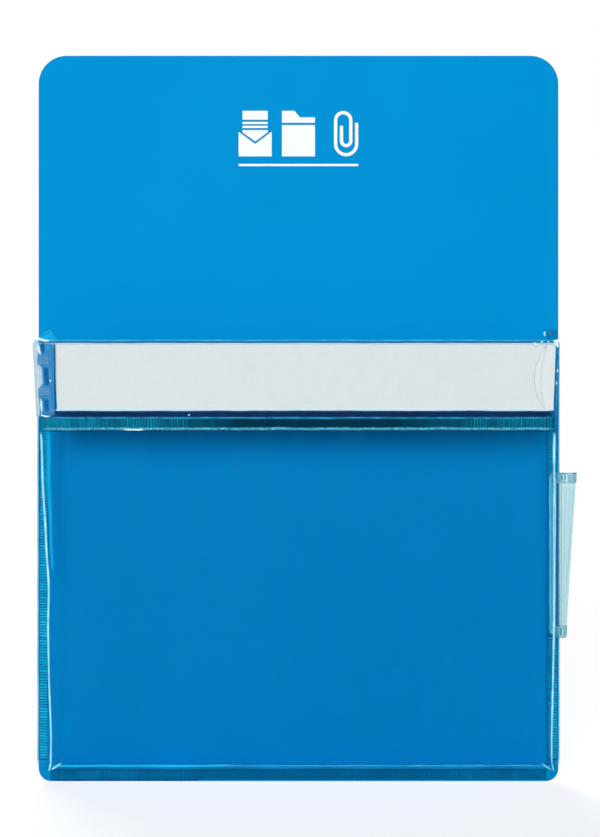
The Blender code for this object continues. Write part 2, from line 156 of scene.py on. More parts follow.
def pick_edges(obj: Object, wanted: Callable[[bmesh.types.BMEdge], bool]) -> None:
    """Selects in edit mode the edges that wanted accepts, and no others.

    Args:
        obj: the object that is being edited.
        wanted: tells whether one edge is to be selected.
    """
    bpy.ops.mesh.select_mode(type="EDGE")
    bpy.ops.mesh.select_all(action="DESELECT")
    mesh = bmesh.from_edit_mesh(obj.data)
    for edge in [edge for edge in mesh.edges if wanted(edge)]:
        edge.select_set(True)
    mesh.select_flush_mode()
    bmesh.update_edit_mesh(obj.data)


def apply_modifier(obj: Object, kind: str, **settings: object) -> None:
    """Adds one modifier to obj and applies it.

    Args:
        obj: the object.
        kind: the modifier's type.
        settings: the modifier's properties.
    """
    activate(obj)
    modifier = obj.modifiers.new(kind.lower(), kind)
    for key, value in settings.items():
        setattr(modifier, key, value)
    bpy.ops.object.modifier_apply(modifier=modifier.name)


def place(obj: Object, origin: Vector, u: Vector, v: Vector) -> None:
    """Carries a piece from its own XY plane to where it belongs, and applies that.

    Args:
        obj: a piece that was modelled about the origin.
        origin: where its own origin goes.
        u: the direction that its own X takes.
        v: the direction that its own Y takes.
    """
    matrix = Matrix((u, v, u.cross(v))).transposed().to_4x4()
    matrix.translation = origin
    obj.matrix_world = matrix
    activate(obj)
    bpy.ops.object.transform_apply(location=True, rotation=True, scale=True)


def face_out(obj: Object) -> None:
    """Turns the faces of a closed piece outwards.

    Args:
        obj: the piece.
    """
    edit(obj)
    bpy.ops.mesh.select_all(action="SELECT")
    bpy.ops.mesh.remove_doubles(threshold=MERGE_DISTANCE)
    bpy.ops.mesh.normals_make_consistent(inside=False)
    deselect()


def smooth(obj: Object, angle: float = math.radians(40.0)) -> None:
    """Shades obj smooth, apart from its edges that are sharper than angle."""
    activate(obj)
    bpy.ops.object.shade_smooth_by_angle(angle=angle)


def block(name: str, size: Vector, center: Vector) -> Object:
    """A box primitive at its size and place, still to be shaped.

    Args:
        name: the piece's name.
        size: its extent along each axis.
        center: its middle.

    Returns:
        The box.
    """
    deselect()
    bpy.ops.mesh.primitive_cube_add(size=1.0, location=center, scale=size)
    obj = fresh(name)
    bpy.ops.object.transform_apply(location=True, rotation=True, scale=True)
    return obj


def soften(obj: Object, radius: float, segments: int) -> None:
    """Rounds all the edges of a block.

    Args:
        obj: the block.
        radius: how far from the edge the rounding starts.
        segments: how many faces it has.
    """
    edit(obj)
    bpy.ops.mesh.select_all(action="SELECT")
    bpy.ops.mesh.bevel(offset=radius, segments=segments, profile=0.5, affect="EDGES")
    deselect()
    smooth(obj)


def loft_sheet(
    name: str, rows: Sequence[Row], thickness: float, closed: bool = False,
    heights: Optional[Sequence[Sequence[float]]] = None,
) -> Object:
    """Extrudes a row of points through the rows that follow it, and gives the sheet its thickness.

    Args:
        name: the piece's name.
        rows: the rows of points, each as long as the first.
        thickness: the film's thickness, half of it to each side of the points.
        closed: whether each row is a ring.
        heights: how high each point stands, which the finish of a fold reads.

    Returns:
        The film, as a closed mesh.
    """
    heights = heights or [[1.0] * len(row) for row in rows]
    deselect()
    bpy.ops.mesh.primitive_circle_add(vertices=len(rows[0]), radius=1.0)
    obj = fresh(name)
    bpy.ops.object.mode_set(mode="EDIT")
    mesh = bmesh.from_edit_mesh(obj.data)
    crest = mesh.verts.layers.float.new(RIDGE)
    column = {}
    for i, vertex in enumerate(mesh.verts):
        vertex.co = rows[0][i]
        vertex[crest] = heights[0][i]
        column[vertex.index] = i
    if not closed:
        ends = {0, len(rows[0]) - 1}
        spare = [edge for edge in mesh.edges if {vertex.index for vertex in edge.verts} == ends]
        bmesh.ops.delete(mesh, geom=spare, context="EDGES_FACES")
    bmesh.update_edit_mesh(obj.data)
    bpy.ops.mesh.select_all(action="SELECT")
    for number in range(1, len(rows)):
        step = rows[number][0] - rows[number - 1][0]
        bpy.ops.mesh.extrude_edges_move(TRANSFORM_OT_translate={"value": step})
        mesh = bmesh.from_edit_mesh(obj.data)
        mesh.verts.index_update()
        crest = mesh.verts.layers.float.get(RIDGE)
        next_column = {}
        for vertex in mesh.verts:
            if vertex.select:
                others = (edge.other_vert(vertex) for edge in vertex.link_edges)
                below = next(other for other in others if not other.select)
                i = column[below.index]
                vertex.co = rows[number][i]
                vertex[crest] = heights[number][i]
                next_column[vertex.index] = i
        column = next_column
        bmesh.update_edit_mesh(obj.data)
    bpy.ops.mesh.select_all(action="SELECT")
    bpy.ops.mesh.normals_make_consistent(inside=False)
    apply_modifier(
        obj, "SOLIDIFY", thickness=thickness, offset=0.0, use_even_offset=True, use_quality_normals=True
    )
    face_out(obj)
    return obj


def ribbon(
    name: str, points: Row, widths: Sequence[float], out: Vector, rise: float = 0.12 * MM,
    fullness: float = 2.0,
) -> Object:
    """A narrow strip of film along a line, which stands up along its middle as a fold does.

    Each point keeps how high it stands: 1 along the middle, and 0 along the rim and at both ends.

    Args:
        name: the piece's name.
        points: the points that the line passes.
        widths: the strip's width at each point.
        out: the direction that its middle stands up in.
        rise: how far its middle stands up.
        fullness: 2 for a rounded fold, and more for a strip that is level up to its rim.

    Returns:
        The strip, as a closed mesh.
    """
    shares = (-1.0, -0.7, -0.35, 0.0, 0.35, 0.7, 1.0)
    last = len(points) - 1
    rows, heights = [], []
    for i, (point, width) in enumerate(zip(points, widths)):
        along = points[min(i + 1, last)] - points[max(i - 1, 0)]
        sideways = out.cross(along).normalized()
        level = 0.0 if i in (0, last) else 1.0
        tall = [level * (1.0 - abs(share) ** fullness) for share in shares]
        rows.append(
            [point + sideways * (share * width / 2) + out * (rise * up) for share, up in zip(shares, tall)]
        )
        heights.append(tall)
    obj = loft_sheet(name, rows, RIBBON_THICKNESS, heights=heights)
    smooth(obj)
    return obj


def value_at(outline: Outline, where: float) -> float:
    """The value that an outline has at a place, with soft turns at its points.

    Args:
        outline: places in rising order, each with its value.
        where: the place at which the value is wanted.

    Returns:
        The value.
    """
    for (low, first), (high, second) in zip(outline, outline[1:]):
        if low <= where <= high:
            share = (where - low) / (high - low)
            return first + (second - first) * share * share * (3 - 2 * share)
    return outline[0][1] if where < outline[0][0] else outline[-1][1]


def evenly(low: float, high: float, steps: int) -> list[float]:
    """The numbers from low to high in equal steps, both ends included."""
    return [low + (high - low) * i / steps for i in range(steps + 1)]


def uneven(count: int, low: float, high: float, seed: int) -> list[float]:
    """Numbers between low and high that wander, each one near the one before it.

    Args:
        count: how many there are.
        low: the least that one may be.
        high: the most that one may be.
        seed: makes them repeat.

    Returns:
        The numbers.
    """
    draw = random.Random(seed)
    drawn = [draw.uniform(low, high) for _ in range(count + 1)]
    return [(first + second) / 2 for first, second in zip(drawn, drawn[1:])]


def flat_shape(name: str, outlines: Sequence[Outline], thickness: float) -> Object:
    """Flat outlines in the XY plane, filled and given a thickness, as a mesh about the origin.

    Args:
        name: the piece's name.
        outlines: the shape's outlines, where one inside another is a hole.
        thickness: the shape's thickness.

    Returns:
        The shape.
    """
    deselect()
    curve = bpy.data.curves.new(name, "CURVE")
    curve.dimensions = "2D"
    curve.fill_mode = "BOTH"
    curve.extrude = thickness / 2
    for outline in outlines:
        spline = curve.splines.new("POLY")
        spline.points.add(len(outline) - 1)
        for point, (x, y) in zip(spline.points, outline):
            point.co = (x, y, 0.0, 1.0)
        spline.use_cyclic_u = True
    obj = bpy.data.objects.new(name, curve)
    bpy.context.scene.collection.objects.link(obj)
    activate(obj)
    bpy.ops.object.convert(target="MESH")
    obj = fresh(name)
    face_out(obj)
    return obj


def ribbed_strip(
    name: str, length: float, width: float, pitch: float, height: float, thickness: float, seed: int,
    lean: float = 0.22, strength: Outline = ((0.0, 1.0), (1.0, 1.0)),
    between: Outline = ((0.0, 0.0), (1.0, 0.0)),
) -> Object:
    """A strip of film with the ribs that a knurled welding bar leaves across it.

    The strip lies about the origin, its length along X, its width along Y and its ribs up +Z.
    Each point also keeps how high it stands, which the weld's finish reads.

    Args:
        name: the piece's name.
        length: the strip's length.
        width: the strip's width.
        pitch: the distance from rib to rib.
        height: how far the tallest ribs stand out.
        thickness: the film's thickness below the ribs.
        seed: makes the ribs' unevenness repeat.
        lean: how far a rib's end may lie off its middle, as a share of the pitch.
        strength: how tall the ribs are by their share of the strip's length.
        between: how pale the film between them is painted by that share, as light falling on it, 1 being as
            pale as a rib.

    Returns:
        The strip, as a closed mesh.
    """
    ribs = int((length - 2 * RIB_MARGIN) / pitch)
    deselect()
    last_column, last_line = 2 * ribs + 2, 5
    bpy.ops.mesh.primitive_grid_add(x_subdivisions=last_column, y_subdivisions=last_line, size=1.0)
    obj = fresh(name)
    mesh = obj.data
    start = -ribs * pitch / 2
    inner = width - 2 * RIB_MARGIN
    draw = random.Random(seed)
    tilt = [offset * pitch for offset in uneven(ribs, -lean, lean, seed)]
    share = [draw.uniform(LOWEST_RIB, 1.0) * value_at(strength, rib / ribs) for rib in range(ribs)]
    rims = {0: -width / 2, last_line: width / 2}
    crests = mesh.attributes.new(RIDGE, "FLOAT", "POINT")
    for vertex in mesh.vertices:
        j, i = divmod(vertex.index, last_column + 1)
        y = rims.get(j, -inner / 2 + inner * (j - 1) / (last_line - 2))
        z = 0.0
        if i in (0, last_column):
            x = -length / 2 if i == 0 else length / 2
        else:
            x = start + (i - 1) * pitch / 2
            rib, on_rib = divmod(i - 1, 2)
            if on_rib and j not in rims:
                x += tilt[rib] * (y / (inner / 2))
                z = height * share[rib]
        vertex.co = (x, y, z)
        # Painted light: the film between the ribs is made paler where between says.
        pale = value_at(between, min(max(0.5 + x / length, 0.0), 1.0))
        crests.data[vertex.index].value = max(z / height, pale)
    apply_modifier(obj, "SOLIDIFY", thickness=thickness, offset=-1.0)
    face_out(obj)
    smooth(obj, math.radians(60.0))
    return obj


# Finishes


def linear(value: str) -> tuple[float, float, float, float]:
    """Turns an sRGB hex colour into linear red, green and blue, with an alpha of 1."""
    channels = [int(value[i : i + 2], 16) / 255 for i in (1, 3, 5)]
    return (*[c / 12.92 if c <= 0.04045 else ((c + 0.055) / 1.055) ** 2.4 for c in channels], 1.0)


WHITE = linear("#FFFFFF")


def add_node(
    tree: NodeTree, kind: str, inputs: Optional[dict[Union[str, int], Source]] = None, **settings: object
) -> Node:
    """Adds a node, sets it up and links it.

    Args:
        tree: the material's or the world's node tree.
        kind: the node's type.
        inputs: for each input, what feeds it.
        settings: the node's properties.

    Returns:
        The node.
    """
    node = tree.nodes.new(kind)
    for key, value in settings.items():
        setattr(node, key, value)
    for key, value in (inputs or {}).items():
        source = value.outputs[0] if isinstance(value, Node) else value
        if isinstance(source, NodeSocket):
            tree.links.new(source, node.inputs[key])
        else:
            node.inputs[key].default_value = source
    return node


def grain(
    tree: NodeTree, size: float, stretch: Vector = Vector((1.0, 1.0, 1.0)), detail: float = 2.0
) -> Source:
    """Soft patches between 0 and 1 in the piece's own coordinates.

    Args:
        tree: the material's node tree.
        size: about how far it is from patch to patch.
        stretch: less than 1 along an axis draws the patches out along it.
        detail: how many finer layers are added.

    Returns:
        The node that gives the patches.
    """
    where = add_node(tree, "ShaderNodeTexCoord")
    turned = add_node(tree, "ShaderNodeMapping", {"Vector": where.outputs["Object"], "Scale": stretch})
    settings = {"Vector": turned, "Scale": 1.0 / size, "Detail": detail, "Roughness": 0.5}
    noise = add_node(tree, "ShaderNodeTexNoise", settings)
    spread = {"Value": noise.outputs["Fac"], "From Min": 0.3, "From Max": 0.7}
    return add_node(tree, "ShaderNodeMapRange", spread)


@dataclass(frozen=True)
class Finish:
    """A material with its name and the two tones that it goes between."""

    name: str
    light: str
    dark: str

    def build(self) -> Material:
        """Makes the material.

        Returns:
            The material.
        """
        made = bpy.data.materials.new(self.name)
        made.use_nodes = True
        tree = made.node_tree
        tree.nodes.clear()
        add_node(tree, "ShaderNodeOutputMaterial", {"Surface": self.surface(tree)})
        return made

    def surface(self, tree: NodeTree) -> Source:
        """The shader of the material's surface, built in its node tree."""
        raise NotImplementedError

    def tone(self, tree: NodeTree, share: Source) -> Source:
        """The colour, from the dark tone to the light one as share goes from 0 to 1."""
        tones = {"Factor": share, 6: linear(self.dark), 7: linear(self.light)}
        return add_node(tree, "ShaderNodeMix", tones, data_type="RGBA").outputs[2]

    def ridges(self, tree: NodeTree, patches: Source, least: float, most: float) -> Source:
        """How high each point of a rib or a fold stands, with less of it in some patches.

        Args:
            tree: the material's node tree.
            patches: the patches, between 0 and 1.
            least: the share of the height that is left where they are 0.
            most: the share where they are 1.

        Returns:
            The node that gives the height, between 0 and 1.
        """
        crest = add_node(tree, "ShaderNodeAttribute", attribute_name=RIDGE)
        strength = add_node(tree, "ShaderNodeMapRange", {"Value": patches, "To Min": least, "To Max": most})
        factors = {0: crest.outputs["Fac"], 1: strength}
        return add_node(tree, "ShaderNodeMath", factors, operation="MULTIPLY", use_clamp=True)

    def over_clear(self, tree: NodeTree, share: Source, shader: Node, passed: Source = WHITE) -> Source:
        """Lets what lies behind the surface show through it.

        Args:
            tree: the material's node tree.
            share: how much of it the surface hides, from 0 to 1.
            shader: the surface's shader.
            passed: the colour that white behind it has where nothing is hidden.

        Returns:
            The mixed shader.
        """
        clear = add_node(tree, "ShaderNodeBsdfTransparent", {"Color": passed})
        return add_node(tree, "ShaderNodeMixShader", {"Fac": share, 1: clear, 2: shader})


@dataclass(frozen=True)
class MattFinish(Finish):
    """A matt surface of two close tones in small spots, such as paper, tissue, rubber or ink."""

    spot: float = 1.0 * MM
    roughness: float = 0.6
    relief: float = 0.2
    specular: float = 0.3
    detail: float = 4.0
    gloss_of_spots: float = 0.05

    def lightness(self, tree: NodeTree, spots: Source) -> Source:
        """Where the light tone is, which is in the spots."""
        return spots

    def surface(self, tree: NodeTree) -> Source:
        """The shader of the material's surface.

        Args:
            tree: the material's node tree.

        Returns:
            The shader.
        """
        spots = grain(tree, self.spot, detail=self.detail)
        depth = {"Height": spots, "Strength": self.relief, "Distance": 0.05 * MM}
        bump = add_node(tree, "ShaderNodeBump", depth)
        dullest, glossiest = self.roughness + self.gloss_of_spots, self.roughness - self.gloss_of_spots
        dull = add_node(tree, "ShaderNodeMapRange", {"Value": spots, "To Min": dullest, "To Max": glossiest})
        color = self.tone(tree, self.lightness(tree, spots))
        look = {"Base Color": color, "Roughness": dull, "Specular IOR Level": self.specular, "Normal": bump}
        return add_node(tree, "ShaderNodeBsdfPrincipled", look)


@dataclass(frozen=True)
class CalenderedPvc(MattFinish):
    """Opaque PVC sheet from heated rollers: an even colour under the rollers' fine matt grain."""

    spot: float = 0.9 * MM
    roughness: float = 0.5
    relief: float = 0.08
    specular: float = 0.01
    detail: float = 3.0
    gloss_of_spots: float = -0.05
    patch: float = 70.0 * MM

    def lightness(self, tree: NodeTree, spots: Source) -> Source:
        """Where the light tone is, which is in wide patches of its own."""
        return grain(tree, self.patch)


@dataclass(frozen=True)
class ClearPvcFilm(Finish):
    """Clear soft PVC film: it tints what is behind it, and a faint haze and gloss give it a surface.

    The light tone is what one of the film's two faces passes straight on, and the dark tone what
    it passes along the film, where the way through it is longer.
    """

    haze: float = 0.03
    haze_color: str = "#1496CE"
    edge_haze: float = 0.1
    roughness: float = 0.1
    gloss: float = 0.25
    streak: Vector = Vector((1.0, 1.0, 0.3))

    def surface(self, tree: NodeTree) -> Source:
        """The shader of the material's surface.

        Args:
            tree: the material's node tree.

        Returns:
            The shader.
        """
        ripple = grain(tree, 28.0 * MM, Vector((1.0, 1.0, 0.5)))
        scuff = grain(tree, 5.0 * MM, self.streak, detail=4.0)
        relief = add_node(tree, "ShaderNodeBump", {"Height": ripple, "Strength": 0.14, "Distance": 0.5 * MM})
        facing = add_node(tree, "ShaderNodeLayerWeight", {"Blend": 0.35})
        steep = add_node(tree, "ShaderNodeMath", {0: facing.outputs["Facing"], 1: 3.0}, operation="POWER")
        tones = {"Factor": steep, 6: linear(self.light), 7: linear(self.dark)}
        tint = add_node(tree, "ShaderNodeMix", tones, data_type="RGBA")
        least, most = self.roughness - 0.03, self.roughness + 0.05
        dull = add_node(tree, "ShaderNodeMapRange", {"Value": scuff, "To Min": least, "To Max": most})
        color = linear(self.haze_color)
        look = {"Base Color": color, "Roughness": dull, "Specular IOR Level": self.gloss, "Normal": relief}
        shader = add_node(tree, "ShaderNodeBsdfPrincipled", look)
        least, most = self.haze * 0.4, self.haze * 1.6
        milky = add_node(tree, "ShaderNodeMapRange", {"Value": scuff, "To Min": least, "To Max": most})
        sums = {0: steep, 1: self.edge_haze, 2: milky}
        solid = add_node(tree, "ShaderNodeMath", sums, operation="MULTIPLY_ADD", use_clamp=True)
        return self.over_clear(tree, solid, shader, tint.outputs[2])


@dataclass(frozen=True)
class WorkedPvc(Finish):
    """PVC melted or stretched in patches, its colour wandering between two tones.

    Light that runs along clear film leaves it where it is worked, which glow stands for.
    """

    solid: float = 1.0
    roughness: float = 0.25
    specular: float = 0.02
    patch: float = 9.0 * MM
    glow: float = 0.0

    def raised(self, tree: NodeTree, patches: Source) -> Source:
        """How light the surface is at each place, from 0 to 1."""
        return patches

    def surface(self, tree: NodeTree) -> Source:
        """The shader of the material's surface.

        Args:
            tree: the material's node tree.

        Returns:
            The shader.
        """
        patches = grain(tree, self.patch)
        color = self.tone(tree, self.raised(tree, patches))
        least, most = self.roughness, self.roughness + 0.15
        dull = add_node(tree, "ShaderNodeMapRange", {"Value": patches, "To Min": least, "To Max": most})
        look = {
            "Base Color": color, "Roughness": dull, "Specular IOR Level": self.specular,
            "Emission Color": color, "Emission Strength": self.glow,
        }
        shader = add_node(tree, "ShaderNodeBsdfPrincipled", look)
        if self.solid == 1.0:
            return shader
        least, most = self.solid - 0.1, self.solid + 0.1
        share = add_node(tree, "ShaderNodeMapRange", {"Value": patches, "To Min": least, "To Max": most})
        return self.over_clear(tree, share, shader)


@dataclass(frozen=True)
class RibbedWeld(WorkedPvc):
    """PVC melted together under a knurled bar, painted pale where the ribs stand up and deep in between, as
    highlight and shade on the ribs.
    """

    faintest: float = 0.3
    strongest: float = 1.1

    def raised(self, tree: NodeTree, patches: Source) -> Source:
        """How light the surface is painted: the ribs' height, as highlight and shade, fainter in some
        patches.
        """
        return self.ridges(tree, patches, self.faintest, self.strongest)


@dataclass(frozen=True)
class FoldedPvc(Finish):
    """Clear PVC along a fold, clear again towards its rim: most finishes paint a highlight along its crest,
    some paint shade, and a few give milky film.

    The light tone is the crest's and the dark one the flanks'. How much it hides of what lies
    behind it follows how high each point of the strip stands, so a fold has no hard outline.
    """

    solid: float = 0.8
    wander: float = 0.35
    patch: float = 6.0 * MM
    # glow is painted light: an emission in the strip's own colour.
    glow: float = 0.0
    roughness: float = 0.3
    specular: float = 0.05

    def surface(self, tree: NodeTree) -> Source:
        """The shader of the material's surface.

        Args:
            tree: the material's node tree.

        Returns:
            The shader.
        """
        raised = self.ridges(tree, grain(tree, self.patch), 1.0 - self.wander, 1.0)
        hidden = add_node(tree, "ShaderNodeMath", {0: raised, 1: self.solid}, operation="MULTIPLY")
        color = self.tone(tree, raised)
        look = {
            "Base Color": color, "Roughness": self.roughness, "Specular IOR Level": self.specular,
            "Emission Color": color, "Emission Strength": self.glow,
        }
        shader = add_node(tree, "ShaderNodeBsdfPrincipled", look)
        return self.over_clear(tree, hidden, shader)


def stock(finish: Finish) -> Material:
    """A field that keeps a finish's material in stock, made when the others are."""
    return field(default_factory=finish.build)


@dataclass
class Finishes:
    """Every material of the pocket, each one made once."""

    # Rigid PVC sheet from heated rollers, pigmented through: an even, saturated blue.
    sheet: Material = stock(CalenderedPvc("calendered_blue_pvc", "#0093D6", "#008FD2"))
    # Soft clear PVC film, cast glossy: it deepens the blue behind it a little.
    pocket_film: Material = stock(ClearPvcFilm("clear_pvc_film", "#EAF6F9", "#A9DCEA"))
    # The same film where it lies close over the card, which it hardly tints.
    label_film: Material = stock(
        ClearPvcFilm("clear_label_film", "#FEFEFE", "#EEF8FA", 0.004, "#DCE8EA", 0.04)
    )
    # The same film in the side folds: seen along its face, it takes up light and turns cyan.
    gusset_film: Material = stock(
        ClearPvcFilm("clear_gusset_film", "#FAFEFE", "#E6F8FC", 0.01, "#12A6DE", 0.02)
    )
    # The same film in the pen sleeve, where the welding has drawn it out in long milky streaks.
    sleeve_film: Material = stock(
        ClearPvcFilm(
            "clear_sleeve_film", "#EDF7F9", "#E0F2F6", 0.02, "#BEDEE6", 0.05, streak=Vector((0.4, 0.4, 0.04))
        )
    )
    # The sleeve's hems: two layers melted into one, more milky and more cyan than the sleeve.
    hem_film: Material = stock(WorkedPvc("melted_hem_film", "#B8E8F2", "#8ED0DC", 0.4, patch=4.0 * MM))
    # Sharp creases, painted with a white highlight and a faint glow: the brightest lines on the pocket.
    crease: Material = stock(FoldedPvc("stress_whitened_crease", "#C4FFFF", "#28B8E6", 0.95, 0.3, glow=0.06))
    # Crumpled film ends, painted white as highlights where they would catch the lamp.
    crumple: Material = stock(FoldedPvc("crumple_painted_glint", "#F2FFFF", "#A6E4F6", 0.95, 0.2, 3.0 * MM, 0.2))
    # Rolled folds without whitening: a soft cyan gleam, painted as a highlight with a faint glow.
    gleam: Material = stock(FoldedPvc("rolled_fold", "#52CAEA", "#0FA2DA", 0.7, 0.5, glow=0.04))
    # The welded lip below the label, a thick melted bead with icy spots, its light crest painted as a
    # highlight.
    lip: Material = stock(FoldedPvc("melted_lip", "#70D4E8", "#0E84B0", 0.92, 0.6, 1.6 * MM))
    # Folds that turn away from the lamp: thin dark lines.
    shade: Material = stock(FoldedPvc("fold_in_shade", "#004F82", "#0070AC", 0.75, 0.3))
    # The film along the top of the label's weld: a light blue line painted as a highlight.
    weld_edge: Material = stock(FoldedPvc("film_beside_weld", "#38AAD6", "#0A70AE", 0.88, 0.5, 4.0 * MM))
    # The slit between the card's foot and the weld: a navy strip painted as the card's shadow, seen through
    # two layers of film.
    slit_shadow: Material = stock(FoldedPvc("slit_below_card", "#0C2A4C", "#0A4A86", 0.93, 0.45, 40.0 * MM))
    # Slack film at the label tube's closed end, milky with handling.
    milky_film: Material = stock(FoldedPvc("milky_film", "#D2EAF4", "#96CAE2", 0.86, 0.3, 4.0 * MM))
    # Two films lying on each other there: a deeper and more violet blue than one.
    double_film: Material = stock(FoldedPvc("film_on_film", "#58A4E0", "#3C8CCC", 0.6, 0.3, 8.0 * MM))
    # The gaps between them, darker still.
    film_gap: Material = stock(FoldedPvc("gap_in_film", "#1468AC", "#1C84C8", 0.9, 0.3, 5.0 * MM))
    # Film pulled tight at the gusset's top: a bright cyan, painted with a glow.
    stretched_film_glow: Material = stock(
        FoldedPvc("stretched_film_glow", "#10B8E8", "#00A4DA", 0.85, 0.3, 5.0 * MM, 0.22)
    )
    # The film's gleam along the card's edges: a pale blue-white line.
    card_gleam: Material = stock(FoldedPvc("gleam_on_card", "#D2F0FC", "#C0E4F6", 0.85, 0.3, 20.0 * MM, 0.12))
    # The gussets' inner folds behind the front film, painted as bright cyan bands with a strong glow.
    inner_fold: Material = stock(
        FoldedPvc("inner_fold_painted_glow", "#1CBCE6", "#0AA6D8", 0.68, 0.3, 20.0 * MM, 0.38)
    )
    # The punched edge of the thumb notch: a pale grey line, because the film is thin there.
    punched_edge: Material = stock(FoldedPvc("punched_film_edge", "#BCC6CA", "#D5DBDD", 0.22, 0.6, 4.0 * MM))
    # The sleeve's inner side, where the blue of the sheet and the pale sleeve mix to green.
    green_fold: Material = stock(FoldedPvc("sleeve_inner_fold", "#A2D2C0", "#9ACDC6", 0.75, 0.3, 12.0 * MM))
    # Pale streaks up the sleeve and across its hems, painted as highlights.
    sleeve_streak: Material = stock(FoldedPvc("drawn_out_streak", "#C4E4EA", "#B0DAE2", 0.4, 0.35, 12.0 * MM))
    # The sleeve's hollows, painted as shade: a bluer and slightly darker tone than the film beside them.
    sleeve_shade: Material = stock(FoldedPvc("hollow_in_sleeve", "#A2CCDC", "#A8D2DE", 0.4, 0.35, 12.0 * MM))
    # The sleeve's tab in the seam: a second layer of milky film on the sheet, lightened with a painted glow.
    tab_film: Material = stock(FoldedPvc("sleeve_tab_film", "#62B2D8", "#59C4E2", 0.85, 0.3, 8.0 * MM, 0.3))
    # Dark ribs in the sleeve's hems, where the bar pressed the film thinnest.
    hem_rib: Material = stock(FoldedPvc("pressed_hem_rib", "#146C8E", "#3B98B2", 0.9, 0.3, 3.0 * MM))
    # The film's cut edge along the sheet's rim, which pipes light and looks cyan.
    sheet_rim: Material = stock(FoldedPvc("film_edge_on_sheet", "#4CC0EA", "#2AA6DC", 1.0, 0.3, 30.0 * MM))
    # The bottom gusset: one thin film that light from the floor fills with a bright cyan.
    foot_film: Material = stock(
        WorkedPvc("foot_gusset_film", "#06ACE0", "#0090C8", 0.7, patch=40.0 * MM, glow=0.3)
    )
    # Film melted flat on the sheet, without ribs: a duller blue than the sheet's own.
    melted_film: Material = stock(WorkedPvc("melted_film_on_sheet", "#048CC6", "#007CB8", patch=5.0 * MM))
    # The ribbed weld up each side of the sheet: bright cyan ribs on a deep blue.
    side_weld: Material = stock(RibbedWeld("film_welded_to_sheet", "#20D0FA", "#005C92", faintest=0.7))
    # The ribbed weld along the sheet's foot, which lies in the pocket's own shade: fainter ribs and darker
    # tones, painted as that shade.
    foot_weld: Material = stock(RibbedWeld("film_welded_to_foot", "#0CA8DC", "#005682", faintest=0.2))
    # The ribbed weld below the label, three films melted together: dark between the ribs as painted shade,
    # with the real shadow behind it showing through.
    label_weld: Material = stock(
        RibbedWeld("film_welded_to_film", "#1CC4F0", "#002C40", 0.62, faintest=0.75, patch=14.0 * MM)
    )
    # The spot welds at the tube's closed end: paler, because they are pressed only lightly.
    spot_weld: Material = stock(RibbedWeld("spot_welded_film", "#86BCE2", "#4A92CC", 0.85, patch=4.0 * MM))
    # Ferrite rubber, extruded: dull black-brown, faintly speckled.
    rubber: Material = stock(MattFinish("ferrite_rubber", "#3A3735", "#2A2826", 0.8 * MM, 0.62, 0.3))
    # Double-sided tissue tape: a yellowish white with a fibrous look.
    tape: Material = stock(MattFinish("tissue_tape", "#E6E3D8", "#DBD7C8", 1.5 * MM))
    # Uncoated card: cool white, with the paper's slight tooth.
    card: Material = stock(MattFinish("uncoated_card", "#E5EDEE", "#E0E8E9", 1.2 * MM, 0.75, 0.15, 0.05))
    # Screen-printed ink: a dense white that lies matt on the sheet.
    ink: Material = stock(MattFinish("screen_ink", "#FBFDFE", "#EEF6FA", 0.6 * MM, 0.5, 0.25))


def dress(piece: Object, finish: Material) -> None:
    """Gives a piece one material in all its slots."""
    piece.data.materials.clear()
    piece.data.materials.append(finish)


def hang(
    piece: Object, body: str, finish: Material, stands_for: Sequence[str] = ()
) -> None:
    """Finishes a piece and makes it ride on a body.

    Args:
        piece: the finished mesh.
        body: the body that carries it.
        finish: its material.
        stands_for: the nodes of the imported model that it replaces.
    """
    dress(piece, finish)
    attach(piece, body)
    if stands_for:
        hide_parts(*stands_for)
    log.info("%s rides on %s, %d faces", piece.name, body, len(piece.data.polygons))


# The pocket's sub-assemblies


